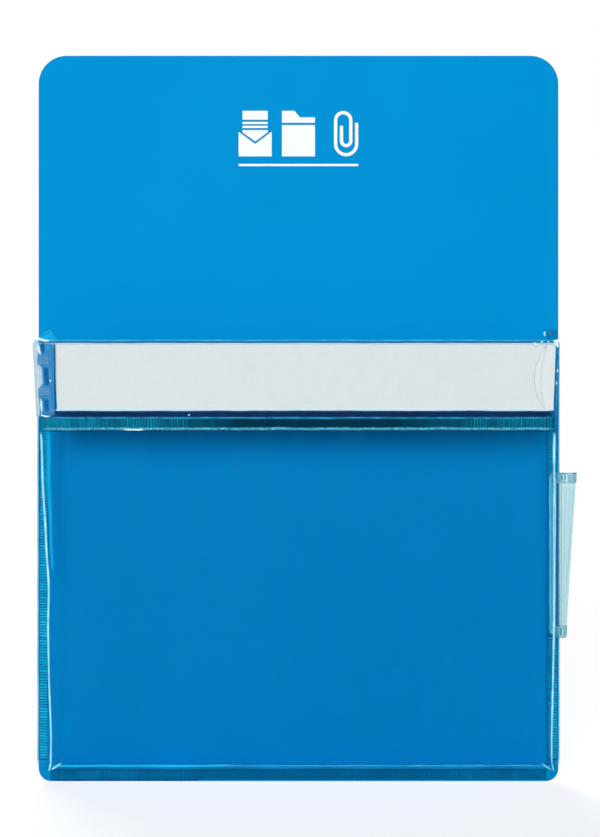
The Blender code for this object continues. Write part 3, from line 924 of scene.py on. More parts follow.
@dataclass(frozen=True)
class PanelProfile:
    """Side view of the pocket's front: it leans out from its foot crease, and more above a bend."""

    crease_y: float
    crease_z: float
    lower_length: float = 147.0 * MM
    upper_length: float = 47.3 * MM
    lower_lean: float = math.radians(5.5)
    upper_lean: float = math.radians(11.3)
    bend_length: float = 10.0 * MM
    half_width: float = 114.3 * MM
    left_insets: Outline = (
        (0.0, 1.65), (14.0, 2.05), (43.0, 1.75), (60.0, 1.85), (84.0, 2.6), (104.0, 1.95), (133.0, 1.05),
        (150.0, 1.0), (158.0, 0.5), (200.0, 0.0),
    )
    right_insets: Outline = (
        (0.0, -1.4), (14.0, -1.15), (40.0, -1.3), (60.0, -1.35), (84.0, -1.0), (120.0, -0.4), (150.0, 0.0),
        (200.0, 0.0),
    )

    @property
    def length(self) -> float:
        """The panel's length from the foot crease to the fold at its top."""
        return self.lower_length + self.upper_length

    def lean(self, along: float) -> float:
        """The panel's lean from the vertical at a distance up from its foot crease."""
        share = (along - self.lower_length) / self.bend_length + 0.5
        return self.lower_lean + (self.upper_lean - self.lower_lean) * min(max(share, 0.0), 1.0)

    def front(self, along: float) -> Vector:
        """The direction that the panel's front faces at a distance up from its foot crease."""
        lean = self.lean(along)
        return Vector((0.0, -math.cos(lean), -math.sin(lean)))

    def point(self, x: float, along: float, out: float = 0.0) -> Vector:
        """A point up the panel from its foot crease and out in front of its rear face.

        Args:
            x: the point's place across the panel.
            along: its distance up the panel.
            out: its distance in front of the film's rear face.

        Returns:
            The point.
        """
        bend_start = self.lower_length - self.bend_length / 2
        bend_radius = self.bend_length / (self.upper_lean - self.lower_lean)
        lean = self.lean(along)
        straight = min(along, bend_start)
        y = self.crease_y - straight * math.sin(self.lower_lean)
        z = self.crease_z + straight * math.cos(self.lower_lean)
        y -= bend_radius * (math.cos(self.lower_lean) - math.cos(lean))
        z += bend_radius * (math.sin(lean) - math.sin(self.lower_lean))
        beyond = max(along - bend_start - self.bend_length, 0.0)
        y -= beyond * math.sin(self.upper_lean)
        z += beyond * math.cos(self.upper_lean)
        return Vector((x, y, z)) + self.front(along) * out

    def edge(self, side: Side, along: float) -> float:
        """The x of the panel's side crease, which sways a little as soft film does.

        Args:
            side: which of the two creases.
            along: the distance up the panel.

        Returns:
            The crease's x.
        """
        insets = self.left_insets if side is Side.LEFT else self.right_insets
        return side.value * (self.half_width - value_at(insets, min(along, self.length) / MM) * MM)

    def along_at(self, z: float) -> float:
        """The distance up the panel at which its rear face stands at a height.

        Args:
            z: the height.

        Returns:
            The distance.
        """
        low, high = 0.0, self.length
        halvings = 30
        for _ in range(halvings):
            middle = (low + high) / 2
            if self.point(0.0, middle).z < z:
                low = middle
            else:
                high = middle
        return (low + high) / 2


@dataclass(frozen=True)
class FilmSizes:
    """Sizes that the film pieces share."""

    thickness: float = 0.3 * MM
    rib_pitch: float = 1.25 * MM
    rib_height: float = 0.3 * MM
    side_weld_width: float = 4.0 * MM
    foot_weld_width: float = 5.1 * MM


@dataclass
class BackSheet:
    """The blue sheet that carries everything, its print, and the magnets taped to its rear."""

    finishes: Finishes
    top_radius: float = 13.0 * MM
    foot_radius: float = 6.0 * MM
    rim: float = 0.3 * MM
    magnet_rim: float = 0.35 * MM
    print_height: float = 131.5 * MM
    sign_centers: tuple[float, float, float] = (-20.0 * MM, 0.0, 22.0 * MM)
    sign_half: Pair = (7.6 * MM, 10.5 * MM)
    rule_drop: float = 14.5 * MM
    ink: float = 0.06 * MM

    def build(self) -> None:
        """Builds the sheet, its print and its magnets."""
        low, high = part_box("back_sheet")
        self.sheet(low, high)
        self.print_on(low.y)
        for place_name in ("top", "middle", "bottom"):
            self.magnet("magnet_strip_" + place_name)
            dress(frame["nodes"]["adhesive_tape_" + place_name], self.finishes.tape)

    def sheet(self, low: Vector, high: Vector) -> None:
        """The sheet itself, its corners rounded and its rim broken.

        Args:
            low: the corner of its box at the left, the front and the foot.
            high: the opposite corner.
        """
        obj = block("back_sheet_body", high - low, (low + high) / 2)
        middle_z = (low.z + high.z) / 2
        edit(obj)
        for radius, upper in ((self.top_radius, True), (self.foot_radius, False)):

            def at_corner(edge: bmesh.types.BMEdge, upper: bool = upper) -> bool:
                """True for an edge through the sheet at an upper corner, or else at a lower one."""
                a, b = (vertex.co for vertex in edge.verts)
                return abs(a.y - b.y) > 0.5 * (high.y - low.y) and (a.z > middle_z) == upper

            pick_edges(obj, at_corner)
            bpy.ops.mesh.bevel(offset=radius, segments=14, profile=0.5, affect="EDGES")

        def on_rim(edge: bmesh.types.BMEdge) -> bool:
            """True for an edge of the front or the rear face."""
            a, b = (vertex.co for vertex in edge.verts)
            return abs(a.y - b.y) < 0.01 * MM

        pick_edges(obj, on_rim)
        bpy.ops.mesh.bevel(offset=self.rim, segments=3, profile=0.5, affect="EDGES")
        deselect()
        smooth(obj)
        hang(obj, "back", self.finishes.sheet, ["back_sheet"])

    def magnet(self, node: str) -> None:
        """One magnetic strip, with the soft edges of cut ferrite rubber.

        Args:
            node: the strip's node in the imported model.
        """
        low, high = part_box(node)
        obj = block(node + "_body", high - low, (low + high) / 2)
        soften(obj, self.magnet_rim, 3)
        hang(obj, "back", self.finishes.rubber, [node])

    def print_on(self, face_y: float) -> None:
        """Three plain signs for papers and a rule below them, in white ink.

        Args:
            face_y: where the sheet's front face lies.
        """
        rule_x = self.sign_half[0] - self.sign_centers[0]
        prints = (
            ("print_envelope", self.sign_centers[0], 0.0, self.envelope()),
            ("print_folder", self.sign_centers[1], 0.0, self.folder()),
            ("print_clip", self.sign_centers[2], 0.0, self.clip()),
            ("print_rule", 0.0, self.rule_drop, [self.bar(rule_x, -0.5 * MM, 0.5 * MM)]),
        )
        for name, x, drop, outlines in prints:
            print_shape = flat_shape(name, outlines, self.ink)
            place(print_shape, Vector((x, face_y, self.print_height - drop)), AXIS_X, AXIS_Z)
            hang(print_shape, "back", self.finishes.ink)

    def bar(self, reach: float, low: float, high: float) -> Outline:
        """A level bar that reaches as far to the left as to the right."""
        return [(-reach, low), (reach, low), (reach, high), (-reach, high)]

    def envelope(self) -> list[Outline]:
        """An open envelope, and the sheet of paper that stands in it with three lines on it.

        Returns:
            The outlines of its inked areas.
        """
        w, h = self.sign_half
        paper = 5.8 * MM
        outlines = [
            [(-w, -h), (w, -h), (w, 0.8 * MM), (0.0, -4.8 * MM), (-w, 0.8 * MM)],
            [(-paper, 1.6 * MM), (paper, 1.6 * MM), (paper, 0.6 * MM), (0.0, -3.6 * MM), (-paper, 0.6 * MM)],
        ]
        for low, high in ((6.4, 10.5), (4.4, 5.4), (2.6, 3.6)):
            outlines.append(self.bar(paper, low * MM, high * MM))
        return outlines

    def folder(self) -> list[Outline]:
        """A folder with the tab of its rear leaf above it.

        Returns:
            The outlines of its inked areas.
        """
        w, h = self.sign_half
        low, high = h - 5.5 * MM, h - 3.0 * MM
        tab = [(-w, low), (w, low), (w, high), (0.6 * MM, high), (-1.8 * MM, h), (-w, h)]
        return [self.bar(w, -h, h - 6.6 * MM), tab]

    def clip(self) -> list[Outline]:
        """A paper clip standing up: a line of even width along two nested loops.

        Returns:
            The outline of that line.
        """
        half = 0.75 * MM
        outer, middle, inner = 4.85 * MM, 3.5 * MM, 2.15 * MM
        path: list[Pair] = []

        def turn(x: float, z: float, radius: float, start: float, end: float) -> None:
            """Adds a round turn to the path, from one bearing to another in degrees."""
            for bearing in evenly(start, end, 10):
                angle = math.radians(bearing)
                path.append((x + radius * math.sin(angle), z + radius * math.cos(angle)))

        path.append((outer, 4.9 * MM))
        turn(0.0, -4.9 * MM, outer, 90.0, 270.0)
        turn(middle - outer, 6.2 * MM, middle, -90.0, 90.0)
        turn(middle - outer + (middle - inner), -3.4 * MM, inner, 90.0, 270.0)
        path.append((middle - outer - inner + (middle - inner), 3.6 * MM))
        left, right = [], []
        for i, (x, z) in enumerate(path):
            before, after = path[max(i - 1, 0)], path[min(i + 1, len(path) - 1)]
            along = Vector((after[0] - before[0], after[1] - before[1])).normalized()
            left.append((x - along.y * half, z + along.x * half))
            right.append((x + along.y * half, z - along.x * half))
        return [left + right[::-1]]


@dataclass
class FrontPanel:
    """The pocket's front: one film up from the foot crease and over into the label tube."""

    finishes: Finishes
    profile: PanelProfile
    film: FilmSizes
    tube_height: float = 34.5 * MM
    tube_taper: float = 3.0 * MM
    tube_gap: float = 0.9 * MM
    weld_width: float = 4.6 * MM
    lip: float = 1.8 * MM
    notch_radius: float = 22.0 * MM
    notch_depth: float = 9.6 * MM
    notch_half_height: float = 14.7 * MM
    card_height: float = 30.0 * MM
    card_clearance: float = 0.3 * MM
    rib_pitch: float = 1.3 * MM
    press_radius: float = 45.0 * MM
    press_depth: float = 7.0 * MM
    left_crease: Outline = ((0.0, 0.9), (40.0, 1.1), (84.0, 1.3), (110.0, 1.4), (150.0, 1.2))
    right_crease: Outline = (
        (0.0, 0.9), (20.0, 1.2), (60.0, 1.3), (90.0, 1.1), (125.0, 0.9), (140.0, 1.5), (153.0, 1.6)
    )
    weld_strength: Outline = (
        (0.0, 0.6), (0.11, 0.6), (0.14, 0.75), (0.25, 0.65), (0.32, 0.3), (0.4, 0.08), (0.68, 0.08),
        (0.8, 0.4), (0.88, 0.62), (1.0, 0.75),
    )
    # Painted light on the film between the weld's ribs, paler towards both ends where light comes in from the
    # sides.
    weld_between_painted_light: Outline = (
        (0.0, 0.42), (0.1, 0.38), (0.15, 0.2), (0.3, 0.04), (0.4, 0.0), (0.75, 0.0), (1.0, 0.15)
    )
    columns: int = 14

    @property
    def tube_foot(self) -> float:
        """The distance up the panel at which the label tube begins."""
        return self.profile.length - self.tube_height

    @property
    def weld_foot(self) -> float:
        """The distance up the panel at which the label's weld ends and the lip begins."""
        return self.tube_foot - self.weld_width

    def build(self) -> None:
        """Builds the film, its welds and its creases."""
        self.build_film()
        self.label_weld()
        self.creases()

    def row(self, along: float, out: float, ripple: float = 0.0) -> list[Vector]:
        """The film's points across the panel at one distance up it.

        Args:
            along: the distance up the panel.
            out: how far the film's middle stands in front of its rear face.
            ripple: how far the soft film's waves reach there.

        Returns:
            The points from left to right.
        """
        left = self.profile.edge(Side.LEFT, along)
        right = self.profile.edge(Side.RIGHT, along)
        height = along / MM
        points = []
        for share in evenly(0.0, 1.0, self.columns):
            still = math.sin(math.pi * share) ** 0.5
            wave = math.sin(9.0 * share + 0.035 * height) + 0.6 * math.sin(4.0 * share - 0.06 * height)
            x = left + (right - left) * share
            points.append(self.profile.point(x, along, out + ripple * still * wave))
        return points

    def build_film(self) -> None:
        """The film in one piece, from the foot crease up, over and down to the lip."""
        profile = self.profile
        film = self.film.thickness
        half_film = film / 2
        steps = 12
        bend_start = profile.lower_length - profile.bend_length / 2
        bend_end = bend_start + profile.bend_length
        ripple = 0.35 * MM
        rows = []
        for i in range(steps):
            along = max(bend_start * i / steps, 0.2 * MM)
            rows.append(self.row(along, half_film, ripple * math.sin(math.pi * i / steps)))
        rows += [self.row(bend_start + profile.bend_length * i / 4, half_film) for i in range(5)]
        radius = (film + self.tube_gap) / 2
        top = profile.length - radius - half_film
        rows += [self.row(along, half_film) for along in evenly(bend_end, top, 5)[1:]]
        for i in range(1, 8):
            angle = math.pi * i / 8
            out = half_film + radius - radius * math.cos(angle)
            rows.append(self.row(top + radius * math.sin(angle), out))
        for along in evenly(top, self.tube_foot + self.tube_taper, 5):
            rows.append(self.row(along, film + self.tube_gap + half_film))
        for along, lift in ((self.tube_foot, 0.05), (self.weld_foot, 0.03), (self.weld_foot - self.lip, 0.1)):
            rows.append(self.row(along, 1.5 * film + lift * MM))
        obj = loft_sheet("pocket_front_film", rows, film)
        self.cut_notch(obj)
        smooth(obj, math.radians(30.0))
        hang(obj, "pocket_front", self.finishes.pocket_film, stands_for=["front_panel"])
        self.clear_the_tube(obj)

    def clear_the_tube(self, obj: Object) -> None:
        """Gives the faces in front of the card the clearer label film's finish.

        Args:
            obj: the film.
        """
        obj.data.materials.append(self.finishes.label_film)
        foot = self.profile.point(0.0, self.tube_foot)
        _, out = self.tube_axes()
        for polygon in obj.data.polygons:
            above = polygon.center.z > foot.z
            proud = (polygon.center - foot).dot(out) > self.film.thickness + 0.2 * MM
            polygon.material_index = 1 if above and proud else 0

    def tube_axes(self) -> tuple[Vector, Vector]:
        """The directions up the label tube and out of its front."""
        lean = self.profile.upper_lean
        return Vector((0.0, -math.sin(lean), math.cos(lean))), Vector((0.0, -math.cos(lean), -math.sin(lean)))

    def cut_notch(self, obj: Object) -> None:
        """Cuts the thumb notch out of the tube's front film at its open right end.

        Args:
            obj: the film.
        """
        up, _ = self.tube_axes()
        middle = self.tube_foot + self.tube_taper + self.card_clearance + self.card_height / 2
        center_x = self.profile.half_width - self.notch_depth + self.notch_radius
        center = self.profile.point(center_x, middle, self.film.thickness + self.tube_gap + 0.6 * MM)
        deselect()
        bpy.ops.mesh.primitive_cylinder_add(vertices=96, radius=self.notch_radius, depth=2.0 * MM)
        cutter = fresh("thumb_notch_cutter")
        place(cutter, center, AXIS_X, up)
        for sign in (-1.0, 1.0):
            edit(cutter)
            bpy.ops.mesh.select_all(action="SELECT")
            flat = center + up * (sign * self.notch_half_height)
            bpy.ops.mesh.bisect(plane_co=flat, plane_no=up * sign, use_fill=True, clear_outer=True)
            deselect()
        face_out(cutter)
        apply_modifier(obj, "BOOLEAN", operation="DIFFERENCE", object=cutter, solver="EXACT")
        bpy.data.objects.remove(cutter, do_unlink=True)

    def label_weld(self) -> None:
        """The ribbed weld that closes the tube's foot, and the lip of film below it."""
        up, _ = self.tube_axes()
        strip = ribbed_strip(
            "label_weld", 2 * self.profile.half_width - 0.6 * MM, self.weld_width, self.rib_pitch,
            self.film.rib_height, thickness=0.06 * MM, seed=11, lean=0.1, strength=self.weld_strength,
            between=self.weld_between_painted_light,
        )
        middle = self.tube_foot - self.weld_width / 2
        place(strip, self.profile.point(0.0, middle, 2 * self.film.thickness + 0.16 * MM), AXIS_X, up)
        hang(strip, "pocket_front", self.finishes.label_weld)
        finishes = self.finishes
        top, foot = self.tube_foot, self.weld_foot
        glint, glint_span, slit_span = finishes.crumple, (0.16, 0.205), (0.289, 0.293)
        # Ribbons of painted light and shade along the weld: highlights on the lip, glints, a shade below the
        # lip, a light edge line, the card's shadow in the slit and a gleam on the card's foot.
        self.across("label_lip", foot - 0.35 * MM, 0.75 * MM, (1.5, 1.9), finishes.lip, 12, rise=0.5)
        self.across("lip_glint", foot - 0.7 * MM, 1.3 * MM, (0.6, 1.0), glint, 21, rise=0.3, span=glint_span)
        self.across("slit_glint", top + 1.4 * MM, 1.5 * MM, (0.5, 0.7), glint, 22, span=slit_span)
        self.across("label_lip_shade", foot - 1.5 * MM, 0.4 * MM, (0.7, 1.0), finishes.shade, 18)
        self.across("label_weld_edge", top - 0.05 * MM, 0.8 * MM, (1.1, 1.7), finishes.weld_edge, 13)
        self.across("slit_below_card", top + 1.75 * MM, 1.15 * MM, (2.6, 2.8), finishes.slit_shadow, 14, 12.0)
        self.across("card_foot_gleam", top + 3.5 * MM, 1.3 * MM, (0.5, 0.8), finishes.card_gleam, 19)

    def across(
        self, name: str, along: float, out: float, widths: Pair, finish: Material, seed: int,
        fullness: float = 2.0, rise: float = 0.12, body: str = "pocket_front", span: Pair = (0.0, 1.0),
    ) -> None:
        """A ribbon from side to side of the panel, uneven as a fold or a melted edge is.

        Args:
            name: the ribbon's name.
            along: its distance up the panel.
            out: how far in front of the film's rear face it lies.
            widths: its least and its greatest width, in millimetres.
            finish: its material.
            seed: makes its unevenness repeat.
            fullness: 2 for a rounded fold, and more for a level strip.
            rise: how far its middle stands up, in millimetres.
            body: the body that carries it.
            span: the shares of the panel's width that it runs between.
        """
        steps = max(4, round(60 * (span[1] - span[0])))
        sway = uneven(steps + 1, -0.15 * MM, 0.15 * MM, seed)
        left = self.profile.edge(Side.LEFT, along)
        right = self.profile.edge(Side.RIGHT, along)
        points = []
        for share, shift in zip(evenly(*span, steps), sway):
            points.append(self.profile.point(left + (right - left) * share, along + shift, out))
        spans = [width * MM for width in uneven(steps + 1, *widths, seed + 100)]
        strip = ribbon(name, points, spans, self.profile.front(along), rise * MM, fullness)
        hang(strip, body, finish)

    def creases(self) -> None:
        """The creases up both sides of the front, along its foot and over its top, painted bright as
        highlights, with a painted shade below the top fold and a gleam on the card.
        """
        profile = self.profile
        finishes = self.finishes
        steps = 80
        for side, spans in ((Side.LEFT, self.left_crease), (Side.RIGHT, self.right_crease)):
            points, widths = [], []
            wander = uneven(steps + 1, 0.8, 1.15, 15 + side.value)
            for along, swell in zip(evenly(0.4 * MM, self.weld_foot - self.lip, steps), wander):
                points.append(profile.point(profile.edge(side, along), along, self.film.thickness + 0.1 * MM))
                widths.append(value_at(spans, along / MM) * swell * MM)
            crease = ribbon("side_crease_" + side.word, points, widths, profile.front(0.0), 0.3 * MM, 2.5)
            hang(crease, "pocket_front", finishes.crease)
        fold, gleam, foot = finishes.inner_fold, finishes.gleam, 0.45 * MM
        self.across("foot_crease_left", 0.1 * MM, foot, (1.0, 1.4), fold, 6, body="back", span=(0.0, 0.36))
        self.across("foot_crease", 0.2 * MM, foot, (0.5, 0.9), gleam, 5, body="back", span=(0.3, 1.0))
        top = profile.length
        tube_out = self.film.thickness * 2 + self.tube_gap + 0.05 * MM
        self.across("tube_top_fold", top, tube_out, (0.7, 1.1), gleam, 16)
        self.across("tube_fold_shade", top - 0.8 * MM, tube_out, (0.5, 0.7), finishes.shade, 17)
        gleam, card_out = finishes.card_gleam, 1.08 * MM
        self.across("card_top_gleam", top - 1.5 * MM, card_out, (0.9, 1.2), gleam, 20, rise=0.02)


@dataclass
class TubeEnds:
    """The label tube's ends: spot welds and gaping film at the left, the thumb notch at the right.

    A path's points are millimetres in from the tube's end and up from its foot.
    """

    finishes: Finishes
    panel: FrontPanel
    spot_rises: Pair = (11.8 * MM, 25.8 * MM)
    spot_width: float = 5.2 * MM
    spot_height: float = 4.8 * MM
    spot_pitch: float = 1.15 * MM
    spot_rib: float = 0.12 * MM
    spike: Outline = ((1.6, 33.6), (2.0, 31.4), (2.6, 29.0), (2.7, 27.8))
    inner_rim: Outline = ((3.2, 22.2), (3.5, 19.0), (3.5, 16.0), (3.3, 14.2))
    outer_rim: Outline = ((6.0, 23.0), (6.3, 20.0), (6.2, 17.0), (6.0, 14.6))
    lower_rim: Outline = ((1.9, 9.6), (2.1, 7.0), (2.1, 4.0), (1.9, 1.4))

    @property
    def face(self) -> float:
        """How far the tube's front face stands in front of the panel's rear face."""
        return 2 * self.panel.film.thickness + self.panel.tube_gap

    def point(self, side: Side, inset: float, rise: float, out: float = 0.0) -> Vector:
        """A point on the tube's front.

        Args:
            side: the end of the tube that it lies at.
            inset: how far in from that end it lies, in millimetres.
            rise: how far up from the tube's foot it lies, in millimetres.
            out: how far in front of the tube it lies.

        Returns:
            The point.
        """
        x = side.value * (self.panel.profile.half_width - inset * MM)
        return self.panel.profile.point(x, self.panel.tube_foot + rise * MM, self.face + out)

    def strip(
        self, name: str, side: Side, path: Outline, widths: Sequence[float], finish: Material,
        out: float = 0.3, fullness: float = 2.0,
    ) -> None:
        """A ribbon over the tube's front.

        Args:
            name: the ribbon's name.
            side: the end of the tube that it lies at.
            path: the inset and the rise of its points, in millimetres.
            widths: its width at each point, in millimetres.
            finish: its material.
            out: how far in front of the tube it lies, in millimetres.
            fullness: 2 for a rounded fold, and more for a level patch.
        """
        points = [self.point(side, inset, rise, out * MM) for inset, rise in path]
        _, front = self.panel.tube_axes()
        made = ribbon(name, points, [width * MM for width in widths], front, 0.08 * MM, fullness)
        hang(made, "pocket_front", finish)

    def build(self) -> None:
        """Builds both ends."""
        self.spot_welds()
        self.slack_film()
        self.gaps()
        self.end_folds()
        self.thumb_notch()
        self.crumples()

    def spot_welds(self) -> None:
        """The two ribbed pads where the tube's two films are melted together."""
        up, _ = self.panel.tube_axes()
        inset = 1.0 + self.spot_width / MM / 2
        for number, rise in enumerate(self.spot_rises, start=1):
            pad = ribbed_strip(
                "spot_weld_%d" % number, self.spot_height, self.spot_width, self.spot_pitch,
                self.spot_rib, self.panel.tube_gap, 20 + number,
            )
            place(pad, self.point(Side.LEFT, inset, rise / MM, 0.14 * MM), up, -AXIS_X)
            face_out(pad)
            hang(pad, "pocket_front", self.finishes.spot_weld)

    def slack_film(self) -> None:
        """The double film from the tube's end to the card, and the milky film that gapes at the very end."""
        finishes = self.finishes
        top = self.panel.tube_height / MM - 0.6
        rises = evenly(0.6, top, 24)
        double = [(4.8 + 0.6 * rise / top, rise) for rise in rises]
        widths = [5.4 + 1.2 * rise / top for rise in rises]
        self.strip("tube_end_film", Side.LEFT, double, widths, finishes.double_film, 0.02, 8.0)
        inner = (
            (0.0, 1.4), (8.0, 1.5), (10.0, 1.2), (14.0, 1.4), (15.0, 3.7), (22.0, 3.5), (24.0, 1.6),
            (35.0, 2.2),
        )
        sway = uneven(len(rises), -0.2, 0.2, 70)
        reaches = [value_at(inner, rise) + wander for rise, wander in zip(rises, sway)]
        slack = [(reach / 2 - 0.25, rise) for reach, rise in zip(reaches, rises)]
        widths = [reach + 0.5 for reach in reaches]
        self.strip("tube_end_slack", Side.LEFT, slack, widths, finishes.milky_film, 0.2, 5.0)

    def gaps(self) -> None:
        """The three gaps between and beside the spot welds, each with rims painted bright as highlights."""
        gap_paths = (
            (((4.0, 33.8), (3.9, 32.4), (3.9, 30.2), (3.9, 28.2)), (1.6, 2.1, 2.0, 1.0)),
            (((4.9, 23.4), (4.8, 21.8), (4.9, 18.0), (5.0, 15.2), (4.9, 14.0)), (1.8, 2.5, 2.4, 2.2, 1.2)),
            (((4.2, 9.2), (4.3, 7.6), (4.3, 4.0), (4.2, 2.2)), (1.8, 2.4, 2.3, 1.4)),
        )
        for number, (path, widths) in enumerate(gap_paths, start=1):
            self.strip("tube_gap_%d" % number, Side.LEFT, path, widths, self.finishes.film_gap, 0.1, 6.0)
        white, cyan = self.finishes.crumple, self.finishes.gleam
        rims = (
            ("slack_spike", white, self.spike, (1.9, 1.7, 1.0, 0.4)),
            ("upper_rim", cyan, ((6.3, 33.6), (6.4, 31.0), (5.9, 28.6)), (1.6, 1.7, 1.0)),
            ("middle_rim_top", white, ((1.0, 23.2), (2.2, 22.9), (3.2, 22.0)), (0.4, 0.5, 0.4)),
            ("middle_rim_inner", cyan, self.inner_rim, (0.3, 0.4, 0.4, 0.3)),
            ("middle_rim_outer", cyan, self.outer_rim, (0.3, 0.4, 0.5, 0.3)),
            ("middle_glint", white, ((6.4, 17.6), (6.6, 16.8), (6.4, 15.8)), (0.5, 0.8, 0.5)),
            ("lower_rim_inner", white, self.lower_rim, (0.8, 1.0, 0.9, 0.6)),
            ("lower_rim_outer", cyan, ((5.5, 8.8), (5.7, 6.0), (5.6, 3.0)), (0.3, 0.4, 0.3)),
        )
        for name, finish, path, widths in rims:
            self.strip("tube_" + name, Side.LEFT, path, widths, finish, 0.3)

    def end_folds(self) -> None:
        """The folds that frame the closed end: its crest, its foot, and the seam beside the card."""
        finishes = self.finishes
        top = self.panel.tube_height / MM
        # The crest and the foot are painted white as highlights, the seam as a painted gleam, and a painted
        # shade runs beside the card.
        crest = ((-0.4, 34.0), (0.0, 35.2), (1.4, 35.6), (3.4, 34.9), (5.6, 34.4), (7.6, 34.5))
        self.strip("tube_end_crest", Side.LEFT, crest, (0.8, 1.6, 1.8, 1.3, 1.2, 0.7), finishes.crumple, 0.36)
        foot = ((1.6, 2.4), (2.2, 1.2), (4.2, 0.8), (6.6, 1.0))
        self.strip("tube_end_foot", Side.LEFT, foot, (0.5, 0.9, 0.8, 0.4), finishes.crumple, 0.36)
        rises = evenly(0.6, top - 0.6, 20)
        seam = [(7.35 + 1.2 * rise / top, rise) for rise in rises]
        self.strip("tube_end_seam", Side.LEFT, seam, uneven(21, 0.3, 0.55, 71), finishes.gleam, 0.24)
        beside = [(7.95 + 1.15 * rise / top, rise) for rise in rises]
        self.strip("tube_end_shade", Side.LEFT, beside, [0.7] * 21, finishes.shade, 0.12, 3.0)
        rim = [(-0.05, rise) for rise in rises]
        self.strip("tube_end_rim", Side.LEFT, rim, uneven(21, 0.5, 0.8, 72), finishes.milky_film, 0.3)

    def thumb_notch(self) -> None:
        """The rim of the thumb notch, and the line that the punch pressed into the film beside it."""
        panel = self.panel
        middle = panel.tube_taper + panel.card_clearance + panel.card_height / 2
        for name, depth, radius in (
            ("notch_rim", panel.notch_depth + 0.3 * MM, panel.notch_radius),
            ("notch_press_line", panel.press_depth, panel.press_radius),
        ):
            reach = math.asin(panel.notch_half_height / radius)
            arc = []
            for angle in evenly(-reach, reach, 24):
                inset = depth - radius * (1 - math.cos(angle))
                arc.append((inset / MM, (middle + radius * math.sin(angle)) / MM))
            self.strip(name, Side.RIGHT, arc, [0.7] * 25, self.finishes.punched_edge, 0.04)

    def crumples(self) -> None:
        """Small crumples in the film at the tube's open end, painted white as glints, and its uneven cut edge
        with a painted gleam.
        """
        finishes = self.finishes
        edge = [(-0.1, rise) for rise in evenly(0.6, self.panel.tube_height / MM - 0.6, 40)]
        widths = uneven(len(edge), 1.0, 1.8, 75)
        self.strip("tube_right_film", Side.RIGHT, edge, widths, finishes.film_gap, 0.06, 4.0)
        widths = uneven(len(edge), 0.1, 0.9, 76)
        self.strip("tube_right_edge", Side.RIGHT, edge, widths, finishes.gleam, 0.16)
        folds = (
            (((11.0, 33.6), (10.2, 33.2), (9.5, 32.6), (9.0, 32.4)), (0.5, 1.3, 1.2, 0.4)),
            (((8.0, 34.3), (7.2, 33.7), (6.2, 34.3)), (0.5, 1.1, 0.4)),
            (((5.2, 34.2), (4.4, 33.9), (3.4, 34.3)), (0.3, 0.6, 0.3)),
            (((2.6, 34.8), (1.6, 34.1), (0.6, 34.3), (-0.2, 35.2)), (0.6, 1.4, 1.7, 0.8)),
            (((1.2, 34.2), (0.6, 33.2), (0.3, 32.2), (0.1, 31.0)), (0.8, 1.8, 1.4, 0.5)),
            (((2.8, 33.4), (2.0, 32.9), (1.2, 33.3)), (0.4, 0.8, 0.4)),
            (((0.2, 22.4), (-0.1, 21.2), (0.1, 19.8)), (0.3, 0.8, 0.3)),
            (((0.1, 17.0), (0.3, 15.6), (0.0, 14.4)), (0.3, 0.6, 0.3)),
        )
        for number, (path, widths) in enumerate(folds, start=1):
            self.strip("tube_crumple_%d" % number, Side.RIGHT, path, widths, finishes.crumple, 0.34)


